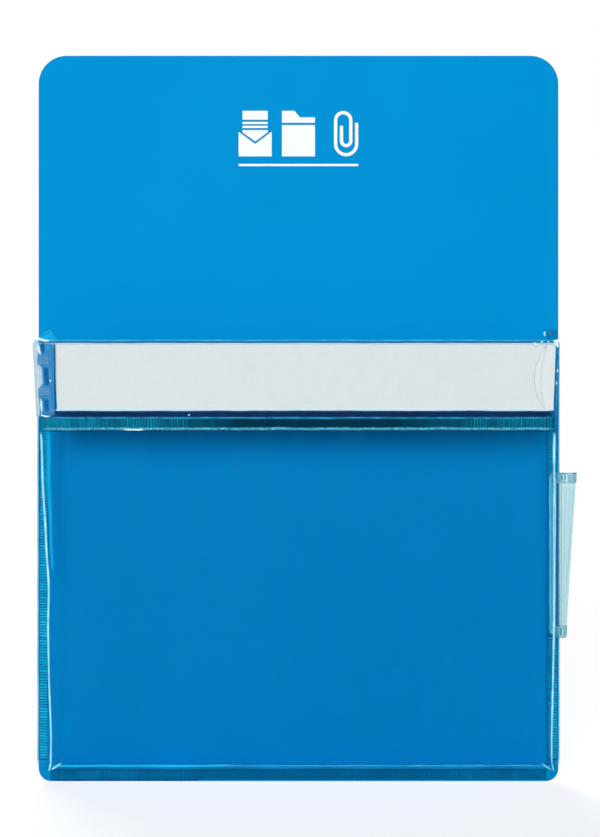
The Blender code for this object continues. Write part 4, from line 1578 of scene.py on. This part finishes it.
@dataclass
class SideGusset:
    """The V of film at one side of the pocket, with its ribbed weld to the sheet."""

    finishes: Finishes
    profile: PanelProfile
    film: FilmSizes
    side: Side
    left_folds: Outline = (
        (0.0, 0.4), (82.0, 0.4), (97.0, 0.5), (129.0, 1.1), (150.0, 1.4), (180.0, 2.4), (196.0, 3.0)
    )
    right_folds: Outline = ((0.0, 2.4), (60.0, 2.6), (110.0, 2.2), (150.0, 1.6), (180.0, 2.0), (196.0, 2.9))
    rise: float = 1.5 * MM
    weld_foot: float = -161.5 * MM
    weld_top: float = 36.0 * MM
    plain_top: float = 40.9 * MM
    rib_foot: float = -157.5 * MM
    split: float = -100.0 * MM
    weld_inner: float = 115.5 * MM
    right_weld_inset: float = 0.8 * MM
    half_pressed: float = 2.9 * MM
    stations: int = 24
    bow: float = 0.07
    peak_outline: Sequence[tuple[float, float, float]] = (
        (-115.0, -20.0, 37.0), (-113.0, -19.0, 38.2), (-111.0, -17.9, 39.5), (-109.6, -17.0, 38.0),
        (-108.3, -16.0, 36.1),
    )
    peak_foot: float = 33.0 * MM
    right_edges: Sequence[Sequence[tuple[float, float, float]]] = (
        ((118.3, -4.0, 40.8), (116.6, -6.5, 40.5), (115.0, -9.0, 40.2), (112.8, -15.0, 39.7)),
        ((117.6, -8.0, 38.2), (116.2, -10.5, 38.0), (114.9, -13.0, 37.8), (113.0, -17.0, 37.5)),
        ((112.0, -15.0, 39.3), (111.4, -15.0, 38.5), (111.4, -15.0, 37.8), (111.9, -15.0, 37.0)),
    )
    rear_y: float = field(init=False)

    def __post_init__(self) -> None:
        """Reads where the film's rear face lies on the sheet."""
        self.rear_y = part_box("side_gusset_" + self.side.word)[1].y

    @property
    def folds(self) -> Outline:
        """How deep the V is at each distance up the panel, in millimetres."""
        return self.left_folds if self.side is Side.LEFT else self.right_folds

    @property
    def film_top(self) -> float:
        """How high the film reaches at its weld."""
        return 36.8 * MM if self.side is Side.LEFT else 40.6 * MM

    def build(self) -> None:
        """Builds the weld, the film and its folds."""
        self.weld()
        self.leaves()
        self.inner_fold()
        self.top_edges()

    def section(self, share: float) -> list[Vector]:
        """The V at a share of the gusset's height.

        Args:
            share: 0 at the foot and 1 at the top.

        Returns:
            Points from the weld to the inner fold and out to the front crease.
        """
        profile = self.profile
        along = 0.3 * MM + share * (profile.length + self.rise - 0.6 * MM)
        front = profile.point(0.0, along, 0.0)
        foot = self.weld_foot + 0.6 * MM
        rear_z = foot + share * (self.film_top - foot)
        fold = value_at(self.folds, along / MM) * MM
        front_x = abs(profile.edge(self.side, along)) - 0.3 * MM
        rear = Vector((self.weld_inner - 0.3 * MM, self.rear_y - self.film.thickness / 2, rear_z))
        apex = Vector((front_x - fold, (rear.y + front.y) / 2, (rear_z + front.z) / 2 + 0.6 * MM))
        crease = Vector((front_x, front.y, front.z))
        bowed = Vector((self.bow * fold, 0.0, 0.0))
        rear_mid = (rear + apex) / 2 + bowed
        front_mid = (crease + apex) / 2 + bowed
        rounded = Vector((0.02 * fold, 0.0, 0.0))
        before = apex + (rear - apex) * 0.12 + rounded
        after = apex + (crease - apex) * 0.12 + rounded
        points = [rear, rear_mid, before, apex, after, front_mid, crease]
        return [Vector((self.side.value * p.x, p.y, p.z)) for p in points]

    def leaves(self) -> None:
        """The film's two leaves in one sheet, which folds as the front closes."""
        shares = [i / self.stations for i in range(self.stations)] + [0.98, 1.0]
        rows = [self.section(share) for share in shares]
        obj = loft_sheet("side_gusset_film_" + self.side.word, rows, self.film.thickness * 0.8)
        smooth(obj, math.radians(50.0))
        self.follow(obj, self.finishes.gusset_film)
        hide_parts("side_gusset_" + self.side.word)

    def inner_fold(self) -> None:
        """The rolled inner fold, which shows through the front film as a soft band painted bright cyan with a
        glow.
        """
        wide = 1.3 if self.side is Side.LEFT else 0.0
        low = 0.45 if self.side is Side.LEFT else 0.8
        steps = 30
        points, widths = [], []
        for i, share in enumerate(evenly(low, 0.97, steps)):
            width = (1.3 + wide * min(2.5 * i / steps, 1.0)) * MM
            apex = self.section(share)[3]
            points.append(apex + AXIS_X * (self.side.value * (width / 2 - 0.2 * MM)))
            widths.append(width)
        band = ribbon("side_gusset_fold_" + self.side.word, points, widths, -AXIS_Y, 0.2 * MM)
        self.follow(band, self.finishes.inner_fold)

    def top_edges(self) -> None:
        """The gusset's top: a tight peak at the left, painted bright cyan with a glow and a gleam along its
        rim, and at the right thin edges painted dark as shade, one painted white.
        """
        white, cyan, dark = self.finishes.crumple, self.finishes.gleam, self.finishes.shade
        if self.side is Side.LEFT:
            self.peak()
            marks = ((self.peak_outline, 0.9, cyan),)
        else:
            marks = tuple(zip(self.right_edges, (0.6, 0.7, 0.9), (dark, dark, white)))
        for number, (path, width, finish) in enumerate(marks, start=1):
            points = [Vector(point) * MM - AXIS_Y * 0.4 * MM for point in path]
            name = "side_gusset_edge_%s_%d" % (self.side.word, number)
            self.follow(ribbon(name, points, [width * MM] * len(points), -AXIS_Y), finish)

    def peak(self) -> None:
        """The film pulled up tight between the gusset's top and the weld."""
        rim = [Vector(point) * MM for point in self.peak_outline]
        rows = []
        for level in (1.0, 0.85, 0.4, 0.0):
            rows.append([Vector((p.x, p.y, self.peak_foot + (p.z - self.peak_foot) * level)) for p in rim])
        full = [0.7, 1.0, 1.0, 1.0, 0.5]
        heights = [[0.3] * 5, [0.5, 0.9, 1.0, 0.9, 0.4], full, full]
        peak = loft_sheet("side_gusset_peak_" + self.side.word, rows, 0.1 * MM, heights=heights)
        smooth(peak)
        self.follow(peak, self.finishes.stretched_film_glow)

    def follow(self, piece: Object, finish: Material) -> None:
        """Makes film follow the sheet at its weld and the front panel at its crease.

        The gusset is deeper at its top, so each point's share of the front's turn is set from
        how far out between the sheet and the panel it lies at its own height.

        Args:
            piece: the film.
            finish: its material.
        """
        profile = self.profile
        rear_y = self.rear_y
        end = tuple(profile.point(0.0, profile.length))
        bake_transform(piece, "back", "pocket_front", start=(0.0, rear_y, 0.0), end=end)
        shares = piece.data.attributes["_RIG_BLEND"].data
        for vertex, share in zip(piece.data.vertices, shares):
            front = profile.point(0.0, profile.along_at(vertex.co.z))
            share.value = min(max((rear_y - vertex.co.y) / (rear_y - front.y), 0.0), 1.0)
        dress(piece, finish)
        log.info("%s bends between back and pocket_front", piece.name)

    def weld(self) -> None:
        """The weld of the film to the sheet's side: ribs, and plain melted film beside and below them.

        At the right the bar has pressed only its inner half above the pen sleeve's foot.
        """
        film = self.film
        word = self.side.word
        outer = self.weld_inner + film.side_weld_width
        if self.side is Side.LEFT:
            spans = [(self.rib_foot, self.weld_top, self.weld_inner, outer)]
            plains = [(self.weld_foot, self.rib_foot, self.weld_inner, outer)]
        else:
            inner = self.weld_inner - self.right_weld_inset
            edge = inner + self.half_pressed
            spans = [(self.rib_foot, self.split, inner, outer), (self.split, self.weld_top, inner, edge)]
            plains = [
                (self.weld_foot, self.rib_foot, inner, outer),
                (self.split, self.weld_top, edge, outer),
                (self.weld_top, self.plain_top, inner, outer),
            ]
        for number, (foot, top, inner, edge) in enumerate(spans, start=1):
            strip = ribbed_strip(
                "side_weld_%s_%d" % (word, number), top - foot, edge - inner, film.rib_pitch,
                film.rib_height, film.thickness, seed=40 + number + self.side.value, lean=0.34,
            )
            x = self.side.value * (inner + edge) / 2
            place(strip, Vector((x, self.rear_y - film.thickness, (foot + top) / 2)), -AXIS_Z, AXIS_X)
            hang(strip, "back", self.finishes.side_weld)
        for number, (foot, top, inner, edge) in enumerate(plains, start=1):
            size = Vector((edge - inner, film.thickness, top - foot))
            x = self.side.value * (inner + edge) / 2
            center = Vector((x, self.rear_y - size.y / 2, (foot + top) / 2))
            plain = block("side_weld_plain_%s_%d" % (word, number), size, center)
            soften(plain, 0.08 * MM, 2)
            hang(plain, "back", self.finishes.melted_film)
        rim_span, shade_span = (self.weld_foot, self.weld_top), (-45.0 * MM, 3.0 * MM)
        self.upright("side_weld_rim_" + word, 120.1, rim_span, (0.6, 0.9), self.finishes.sheet_rim)
        if self.side is Side.LEFT:
            self.upright("side_weld_shade_" + word, 119.3, shade_span, (0.4, 0.8), self.finishes.shade)

    def upright(self, name: str, inset: float, span: Pair, widths: Pair, finish: Material) -> None:
        """A ribbon up the sheet beside the weld.

        Args:
            name: the ribbon's name.
            inset: how far it lies out from the sheet's middle, in millimetres.
            span: the heights that it runs between.
            widths: its least and its greatest width, in millimetres.
            finish: its material.
        """
        steps = 40
        x = self.side.value * inset * MM
        y = self.rear_y - self.film.thickness - 0.1 * MM
        points = [Vector((x, y, z)) for z in evenly(span[0] + 1.0 * MM, span[1] - 1.0 * MM, steps)]
        spans = [width * MM for width in uneven(steps + 1, *widths, 45 + self.side.value)]
        hang(ribbon(name, points, spans, -AXIS_Y), "back", finish)


@dataclass
class FootGusset:
    """The film at the pocket's foot, from its ribbed weld out to the foot crease."""

    finishes: Finishes
    profile: PanelProfile
    film: FilmSizes
    weld_top: float = -161.5 * MM
    corner_x: float = 114.0 * MM
    corner_radius: float = 5.4 * MM
    weld_strength: Outline = ((0.0, 0.5), (0.25, 0.4), (0.4, 0.15), (0.7, 0.15), (0.85, 0.4), (1.0, 0.5))
    rear_y: float = field(init=False)

    def __post_init__(self) -> None:
        """Reads where the film's rear face lies on the sheet."""
        self.rear_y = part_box("bottom_gusset")[1].y

    def build(self) -> None:
        """Builds the weld, the film that runs out to the crease, and the corners."""
        film = self.film
        strip = ribbed_strip(
            "foot_weld", 2 * self.profile.half_width, film.foot_weld_width, film.rib_pitch,
            film.rib_height, film.thickness, seed=51, strength=self.weld_strength,
        )
        middle = self.weld_top - film.foot_weld_width / 2
        place(strip, Vector((0.0, self.rear_y - film.thickness, middle)), AXIS_X, AXIS_Z)
        hang(strip, "back", self.finishes.foot_weld, stands_for=["bottom_gusset"])
        self.film_out_to_crease()
        self.weld_shade()
        self.corners()
        self.pleats()

    def film_out_to_crease(self) -> None:
        """The film from the weld to the crease, which sags a little."""
        crease = self.profile.point(0.0, 0.0)
        root = Vector((0.0, self.rear_y - self.film.thickness / 2, self.weld_top - 0.1 * MM))
        xs = evenly(self.profile.edge(Side.LEFT, 0.0), self.profile.edge(Side.RIGHT, 0.0), 16)
        sag = 0.35 * MM
        rows = []
        for share in evenly(0.0, 1.0, 4):
            center = root + (crease - root) * share
            rows.append([Vector((x, center.y, center.z - sag * math.sin(math.pi * share))) for x in xs])
        obj = loft_sheet("foot_gusset_film", rows, self.film.thickness)
        smooth(obj)
        hang(obj, "back", self.finishes.foot_film)

    def weld_shade(self) -> None:
        """The thin dark lines along the weld's top and along the sheet's foot."""
        reach = self.profile.half_width - 1.0 * MM
        y = self.rear_y - self.film.thickness - self.film.rib_height - 0.05 * MM
        steps = 50
        lines = (
            ("foot_weld_top_shade", self.weld_top - 0.3 * MM, 0.8, -reach, reach),
            ("foot_edge_shade", self.weld_top - 5.2 * MM, 0.7, -reach, -46.0 * MM),
        )
        for number, (name, z, widest, left, right) in enumerate(lines):
            points = [Vector((x, y, z)) for x in evenly(left, right, steps)]
            widths = [width * MM for width in uneven(steps + 1, widest * 0.6, widest, 54 + number)]
            hang(ribbon(name, points, widths, -AXIS_Y, 0.03 * MM), "back", self.finishes.shade)

    def corners(self) -> None:
        """The film melted flat on the sheet's two rounded lower corners."""
        radius = self.corner_radius
        for side in Side:
            outline = [(0.0, 0.0)]
            for angle in evenly(0.0, math.pi / 2, 12):
                outline.append((side.value * radius * math.cos(angle), -radius * math.sin(angle)))
            patch = flat_shape("corner_film_" + side.word, [outline], self.film.thickness)
            y = self.rear_y - self.film.thickness / 2
            place(patch, Vector((side.value * self.corner_x, y, self.weld_top)), AXIS_X, AXIS_Z)
            hang(patch, "back", self.finishes.melted_film)

    def pleats(self) -> None:
        """The little folds where the film is tucked round the pocket's two lower corners, painted bright as
        highlights.
        """
        y = self.profile.crease_y - 0.75 * MM
        for side in Side:
            corner = abs(self.profile.edge(side, 0.0))
            widest = 1.1 * MM if side is Side.LEFT else 0.6 * MM
            widths = [widest * share for share in (0.6, 1.0, 1.0, 0.9, 0.5)]
            for name, path in (
                ("corner_tuck_", ((0.3, -1.9), (-2.4, -0.4), (-5.4, 1.9))),
                ("corner_tail_", ((-0.1, 2.4), (0.4, -0.6), (1.0, -2.6))),
            ):
                points = []
                for shift, rise in path:
                    x = side.value * (corner + shift * MM)
                    points.append(Vector((x, y, self.profile.crease_z + rise * MM)))
                first, middle, last = points
                line = [first, (first + middle) / 2, middle, (middle + last) / 2, last]
                fold = ribbon(name + side.word, line, widths, -AXIS_Y, 0.2 * MM)
                hang(fold, "back", self.finishes.crease)


@dataclass
class PenSleeve:
    """The tapered loop of film for a pen, hemmed at both ends and welded into the side seam."""

    finishes: Finishes
    film: FilmSizes
    sheet_half_width: float
    height: float = 75.0 * MM
    top: float = -24.9 * MM
    rear_y: float = -3.55 * MM
    widths: Pair = (5.8 * MM, 11.0 * MM)
    reaches: Pair = (3.3 * MM, 8.0 * MM)
    bulges: Pair = (4.5 * MM, 6.5 * MM)
    rear_bulge: float = 0.5 * MM
    hem: float = 4.7 * MM
    sides: int = 36
    tab_reach: float = 4.5 * MM

    def spans(self, share: float) -> tuple[float, float, float]:
        """The loop's measures at one height.

        Args:
            share: the share of its height from the foot.

        Returns:
            Its middle, its width and its bulge.
        """
        ends = (self.widths, self.reaches, self.bulges)
        width, reach, bulge = (low + share * (high - low) for low, high in ends)
        return self.sheet_half_width + reach - width / 2, width, bulge

    def ring(self, share: float, growth: float = 0.0) -> list[Vector]:
        """The loop's section at one height.

        Args:
            share: the share of its height from the foot.
            growth: how much larger it is all round.

        Returns:
            The section's points.
        """
        middle, width, bulge = self.spans(share)
        z = self.top - self.height * (1 - share)
        points = []
        for i in range(self.sides):
            angle = 2 * math.pi * i / self.sides
            depth = bulge + growth if math.sin(angle) > 0 else self.rear_bulge
            x = middle + (width / 2 + growth) * math.cos(angle)
            points.append(Vector((x, self.rear_y - self.rear_bulge - depth * math.sin(angle), z)))
        return points

    def front_point(self, share: float, x: float, out: float) -> Vector:
        """A point in front of the loop.

        Args:
            share: the share of the loop's height from the foot.
            x: the point's place across the loop.
            out: how far in front of the loop it lies.

        Returns:
            The point.
        """
        middle, width, bulge = self.spans(share)
        across = min(max((x - middle) / (width / 2), -1.0), 1.0)
        y = self.rear_y - self.rear_bulge - bulge * math.sqrt(1 - across * across) - out
        return Vector((x, y, self.top - self.height * (1 - share)))

    def build(self) -> None:
        """Builds the loop, its hems and the tab in the seam."""
        film = self.film.thickness
        rows = [self.ring(share, -film / 2) for share in evenly(0.0, 1.0, 14)]
        obj = loft_sheet("pen_sleeve_film", rows, film, closed=True)
        smooth(obj)
        hang(obj, "back", self.finishes.sleeve_film, stands_for=["pen_sleeve"])
        hem_share = self.hem / self.height
        for name, low, high in (("foot", 0.0, hem_share), ("top", 1.0 - hem_share, 1.0)):
            rows = [self.ring(share, 0.1 * MM) for share in evenly(low, high, 3)]
            hem = loft_sheet("pen_sleeve_hem_" + name, rows, 0.2 * MM, closed=True)
            smooth(hem)
            hang(hem, "back", self.finishes.hem_film)
        self.tab()
        self.upright_lines()
        self.hem_marks()

    def upright(
        self, name: str, span: Pair, ends: Pair, widths: Pair, finish: Material, out: float = 0.15,
        fullness: float = 2.0,
    ) -> None:
        """A ribbon up the sleeve.

        Args:
            name: the ribbon's name.
            span: the shares of the sleeve's height that it runs between.
            ends: how far out past the sheet's side its foot and its top lie, in millimetres.
            widths: its width at the foot and at the top, in millimetres.
            finish: its material.
            out: how far in front of the sleeve it lies, in millimetres.
            fullness: 2 for a rounded fold, and more for a level strip.
        """
        low, high = span
        steps = max(4, round(24 * (high - low)))
        wander = uneven(steps + 1, 0.8, 1.15, len(name))
        points, spans = [], []
        for step, swell in zip(evenly(0.0, 1.0, steps), wander):
            x = self.sheet_half_width + (ends[0] + (ends[1] - ends[0]) * step) * MM
            points.append(self.front_point(low + (high - low) * step, x, out * MM))
            spans.append((widths[0] + (widths[1] - widths[0]) * step) * swell * MM)
        hang(ribbon(name, points, spans, -AXIS_Y, 0.08 * MM, fullness), "back", finish)

    def tab(self) -> None:
        """The tab of film that holds the loop in the side seam."""
        left = self.sheet_half_width - self.tab_reach
        y = self.rear_y - self.rear_bulge
        foot = self.top - self.height
        middle, width, _ = self.spans(0.0)
        inner = middle - width / 2 + 0.4 * MM
        rows = []
        for z in (foot, foot + self.height / 2, self.top):
            rows.append([Vector((x, y, z)) for x in (left, (left + inner) / 2, inner)])
        tab = loft_sheet("sleeve_tab", rows, self.film.thickness)
        hang(tab, "back", self.finishes.gusset_film)
        milk, crease = self.finishes.tab_film, self.finishes.crease
        # The tab's milky strip is lightened with a painted glow, and its edge and rim are painted bright as
        # highlights.
        self.upright("sleeve_tab_milk", (0.0, 1.0), (-3.0, -3.3), (2.4, 2.6), milk, 0.1, 5.0)
        self.upright("sleeve_tab_edge", (0.0, 1.0), (-2.3, -2.2), (0.9, 1.0), crease)
        self.upright("sleeve_tab_rim", (0.0, 1.0), (-4.1, -4.2), (0.6, 0.8), crease)

    def upright_lines(self) -> None:
        """The fold up the loop's near side, a pale streak painted as a highlight and bluer streaks painted as
        shade, which draw together towards its foot.
        """
        finishes = self.finishes
        self.upright("sleeve_near_fold", (0.0, 1.0), (0.2, 0.0), (1.0, 0.9), finishes.green_fold)
        self.upright("sleeve_milky_streak", (0.06, 0.93), (1.9, 4.1), (0.8, 2.6), finishes.sleeve_streak)
        self.upright("sleeve_blue_streak", (0.06, 0.93), (0.95, 1.8), (0.4, 0.9), finishes.sleeve_shade)
        self.upright("sleeve_far_shade", (0.3, 0.93), (2.4, 6.1), (0.5, 1.0), finishes.sleeve_shade)

    def hem_marks(self) -> None:
        """The marks of the welding bar in each hem, and the thin dark lines where its ends were cut."""
        finishes = self.finishes
        share = self.hem / self.height
        top = (1.0 - 0.92 * share, 1.0 - 0.06 * share)
        foot = (0.06 * share, 0.94 * share)
        middle = (1.0 - 0.66 * share, 1.0 - 0.24 * share)
        # In the hems the white, cyan and pale marks are painted highlights and the bluer mark is painted
        # shade.
        marks = (
            ("top_milk", top, -3.4, 1.8, finishes.sleeve_streak),
            ("top_cyan", top, -1.2, 1.0, finishes.gleam),
            ("top_dark_1", middle, 0.2, 0.6, finishes.hem_rib),
            ("top_bright_1", top, 0.9, 0.8, finishes.crease),
            ("top_dark_2", middle, 1.7, 0.7, finishes.hem_rib),
            ("top_bright_2", top, 2.2, 0.7, finishes.crumple),
            ("top_milk_2", top, 4.4, 1.6, finishes.sleeve_streak),
            ("top_teal", top, 6.8, 1.2, finishes.green_fold),
            ("foot_milk", foot, -3.2, 1.2, finishes.crease),
            ("foot_cyan", foot, -1.2, 1.1, finishes.gleam),
            ("foot_dark_1", foot, 0.0, 0.6, finishes.hem_rib),
            ("foot_bright", foot, 0.8, 0.7, finishes.crease),
            ("foot_dark_2", foot, 1.6, 0.6, finishes.sleeve_shade),
        )
        for name, span, x, width, finish in marks:
            self.upright("sleeve_hem_" + name, span, (x, x), (width, width), finish, 0.3)
        cuts = (("top_near", 1.0, -0.8, 2.4), ("top_far", 1.0, 4.6, 7.8), ("foot", 0.0, -1.0, 3.0))
        for number, (name, share, left, right) in enumerate(cuts):
            points = []
            for inset in evenly(left, right, 8):
                points.append(self.front_point(share, self.sheet_half_width + inset * MM, 0.3 * MM))
            widths = [width * MM for width in uneven(9, 0.3, 0.6, 90 + number)]
            hang(ribbon("sleeve_cut_" + name, points, widths, -AXIS_Y, 0.03 * MM), "back", finishes.hem_rib)


@dataclass
class Studio:
    """The camera at the photograph's viewpoint, plain lamps, a white world and a pale floor."""

    sheet_front: float
    floor_z: float
    distance: float = 0.55
    camera_x: float = 20.0 * MM
    middle_x: float = 0.7 * MM
    frame_height: float = 386.3 * MM
    sensor: float = 36.0
    key_strength: float = 2.26
    side_strength: float = 0.3
    back_strength: float = 1.3
    ambient: float = 0.11
    floor_glow: float = 0.64
    floor_radius: float = 6.0

    def build(self) -> None:
        """Builds the camera, the lamps, the world and the floor."""
        self.camera()
        self.sun("key_lamp", 19.0, -8.0, self.key_strength, 37.0)
        self.sun("left_lamp", 15.0, -50.0, self.side_strength, 30.0)
        self.sun("right_lamp", 15.0, 50.0, self.side_strength, 30.0)
        self.sun("back_lamp", 40.0, 205.0, self.back_strength, 40.0)
        self.world()
        self.floor()
        scene = bpy.context.scene
        scene.view_settings.view_transform = "Standard"
        scene.cycles.transparent_max_bounces = 32

    def camera(self) -> None:
        """The camera, a little to the right of the sheet's middle, its frame shifted back on it."""
        data = bpy.data.cameras.new("camera")
        data.sensor_width = self.sensor
        data.lens = self.sensor * self.distance / self.frame_height
        data.shift_x = (self.middle_x - self.camera_x) / self.frame_height
        data.dof.use_dof = False
        obj = bpy.data.objects.new("camera", data)
        obj.location = (self.camera_x, self.sheet_front - self.distance, 0.0)
        obj.rotation_euler = (math.radians(90.0), 0.0, 0.0)
        bpy.context.scene.collection.objects.link(obj)
        bpy.context.scene.camera = obj

    def sun(self, name: str, elevation: float, turn: float, strength: float, spread: float) -> None:
        """A soft lamp that shines on the pocket from one direction.

        Args:
            name: the lamp's name.
            elevation: how high it stands, in degrees.
            turn: how far it stands round from straight in front, to the right, in degrees.
            strength: its strength.
            spread: how wide it is, in degrees, which softens the shadows.
        """
        data = bpy.data.lights.new(name, "SUN")
        data.energy = strength
        data.angle = math.radians(spread)
        obj = bpy.data.objects.new(name, data)
        up, round_by = math.radians(elevation), math.radians(turn)
        level = math.cos(up)
        towards = Vector((math.sin(round_by) * level, -math.cos(round_by) * level, math.sin(up)))
        obj.rotation_euler = towards.to_track_quat("Z", "Y").to_euler()
        obj.location = towards
        bpy.context.scene.collection.objects.link(obj)

    def world(self) -> None:
        """White where it is seen, directly or behind film, and plain soft light elsewhere."""
        world = bpy.data.worlds.new("studio")
        world.use_nodes = True
        tree = world.node_tree
        tree.nodes.clear()
        path = add_node(tree, "ShaderNodeLightPath")
        where = add_node(tree, "ShaderNodeTexCoord")
        axes = add_node(tree, "ShaderNodeSeparateXYZ", {"Vector": where.outputs["Generated"]})
        behind = add_node(tree, "ShaderNodeMath", {0: axes.outputs["Y"], 1: 0.0}, operation="GREATER_THAN")
        glossy = {0: path.outputs["Is Glossy Ray"], 1: behind}
        mirrored = add_node(tree, "ShaderNodeMath", glossy, operation="MULTIPLY")
        seen, passed = path.outputs["Is Camera Ray"], path.outputs["Is Transmission Ray"]
        white = self.any_of(tree, seen, passed, mirrored)
        levels = {"Value": white, "To Min": self.ambient, "To Max": 1.0}
        strength = add_node(tree, "ShaderNodeMapRange", levels)
        light = add_node(tree, "ShaderNodeBackground", {"Color": WHITE, "Strength": strength})
        add_node(tree, "ShaderNodeOutputWorld", {"Surface": light})
        bpy.context.scene.world = world

    def any_of(self, tree: NodeTree, *rays: Source) -> Source:
        """1 for a ray of any of some kinds, and 0 for others.

        Args:
            tree: the node tree.
            rays: for each kind, what is 1 for it.

        Returns:
            What gives it.
        """
        found = rays[0]
        for ray in rays[1:]:
            found = add_node(tree, "ShaderNodeMath", {0: found, 1: ray}, operation="MAXIMUM")
        return found

    def floor(self) -> None:
        """A pale floor that the pocket's foot just meets, which keeps its shadow."""
        deselect()
        bpy.ops.mesh.primitive_circle_add(
            vertices=96, radius=self.floor_radius, fill_type="NGON", location=(0.0, 0.0, self.floor_z)
        )
        obj = fresh("studio_floor")
        made = bpy.data.materials.new("pale_floor")
        made.use_nodes = True
        tree = made.node_tree
        tree.nodes.clear()
        path = add_node(tree, "ShaderNodeLightPath")
        kinds = ("Is Camera Ray", "Is Glossy Ray", "Is Transmission Ray")
        seen = self.any_of(tree, *(path.outputs[kind] for kind in kinds))
        level = add_node(tree, "ShaderNodeMath", {0: seen, 1: self.floor_glow}, operation="MULTIPLY")
        matt = add_node(tree, "ShaderNodeBsdfDiffuse", {"Color": linear("#CBCBCB")})
        glow = add_node(tree, "ShaderNodeEmission", {"Color": WHITE, "Strength": level})
        both = add_node(tree, "ShaderNodeAddShader", {0: matt, 1: glow})
        add_node(tree, "ShaderNodeOutputMaterial", {"Surface": both})
        dress(obj, made)


def main() -> None:
    """Builds every sub-assembly in order."""
    logging.basicConfig(level=logging.INFO, format="%(name)s: %(message)s")
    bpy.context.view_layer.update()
    finishes = Finishes()
    film = FilmSizes()
    hinge = next(joint for joint in frame["joints"] if joint["name"] == "pocket_opening")
    _, crease_y, crease_z = hinge["pos_m"]
    profile = PanelProfile(crease_y, crease_z)
    low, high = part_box("back_sheet")

    BackSheet(finishes).build()
    FootGusset(finishes, profile, film).build()
    for side in Side:
        SideGusset(finishes, profile, film, side).build()
    panel = FrontPanel(finishes, profile, film)
    panel.build()
    TubeEnds(finishes, panel).build()
    PenSleeve(finishes, film, high.x).build()
    dress(frame["nodes"]["label_card"], finishes.card)
    log.info("label_card keeps its solid")
    Studio(sheet_front=low.y, floor_z=low.z - 0.5 * MM).build()


if __name__ == "__main__":
    main()
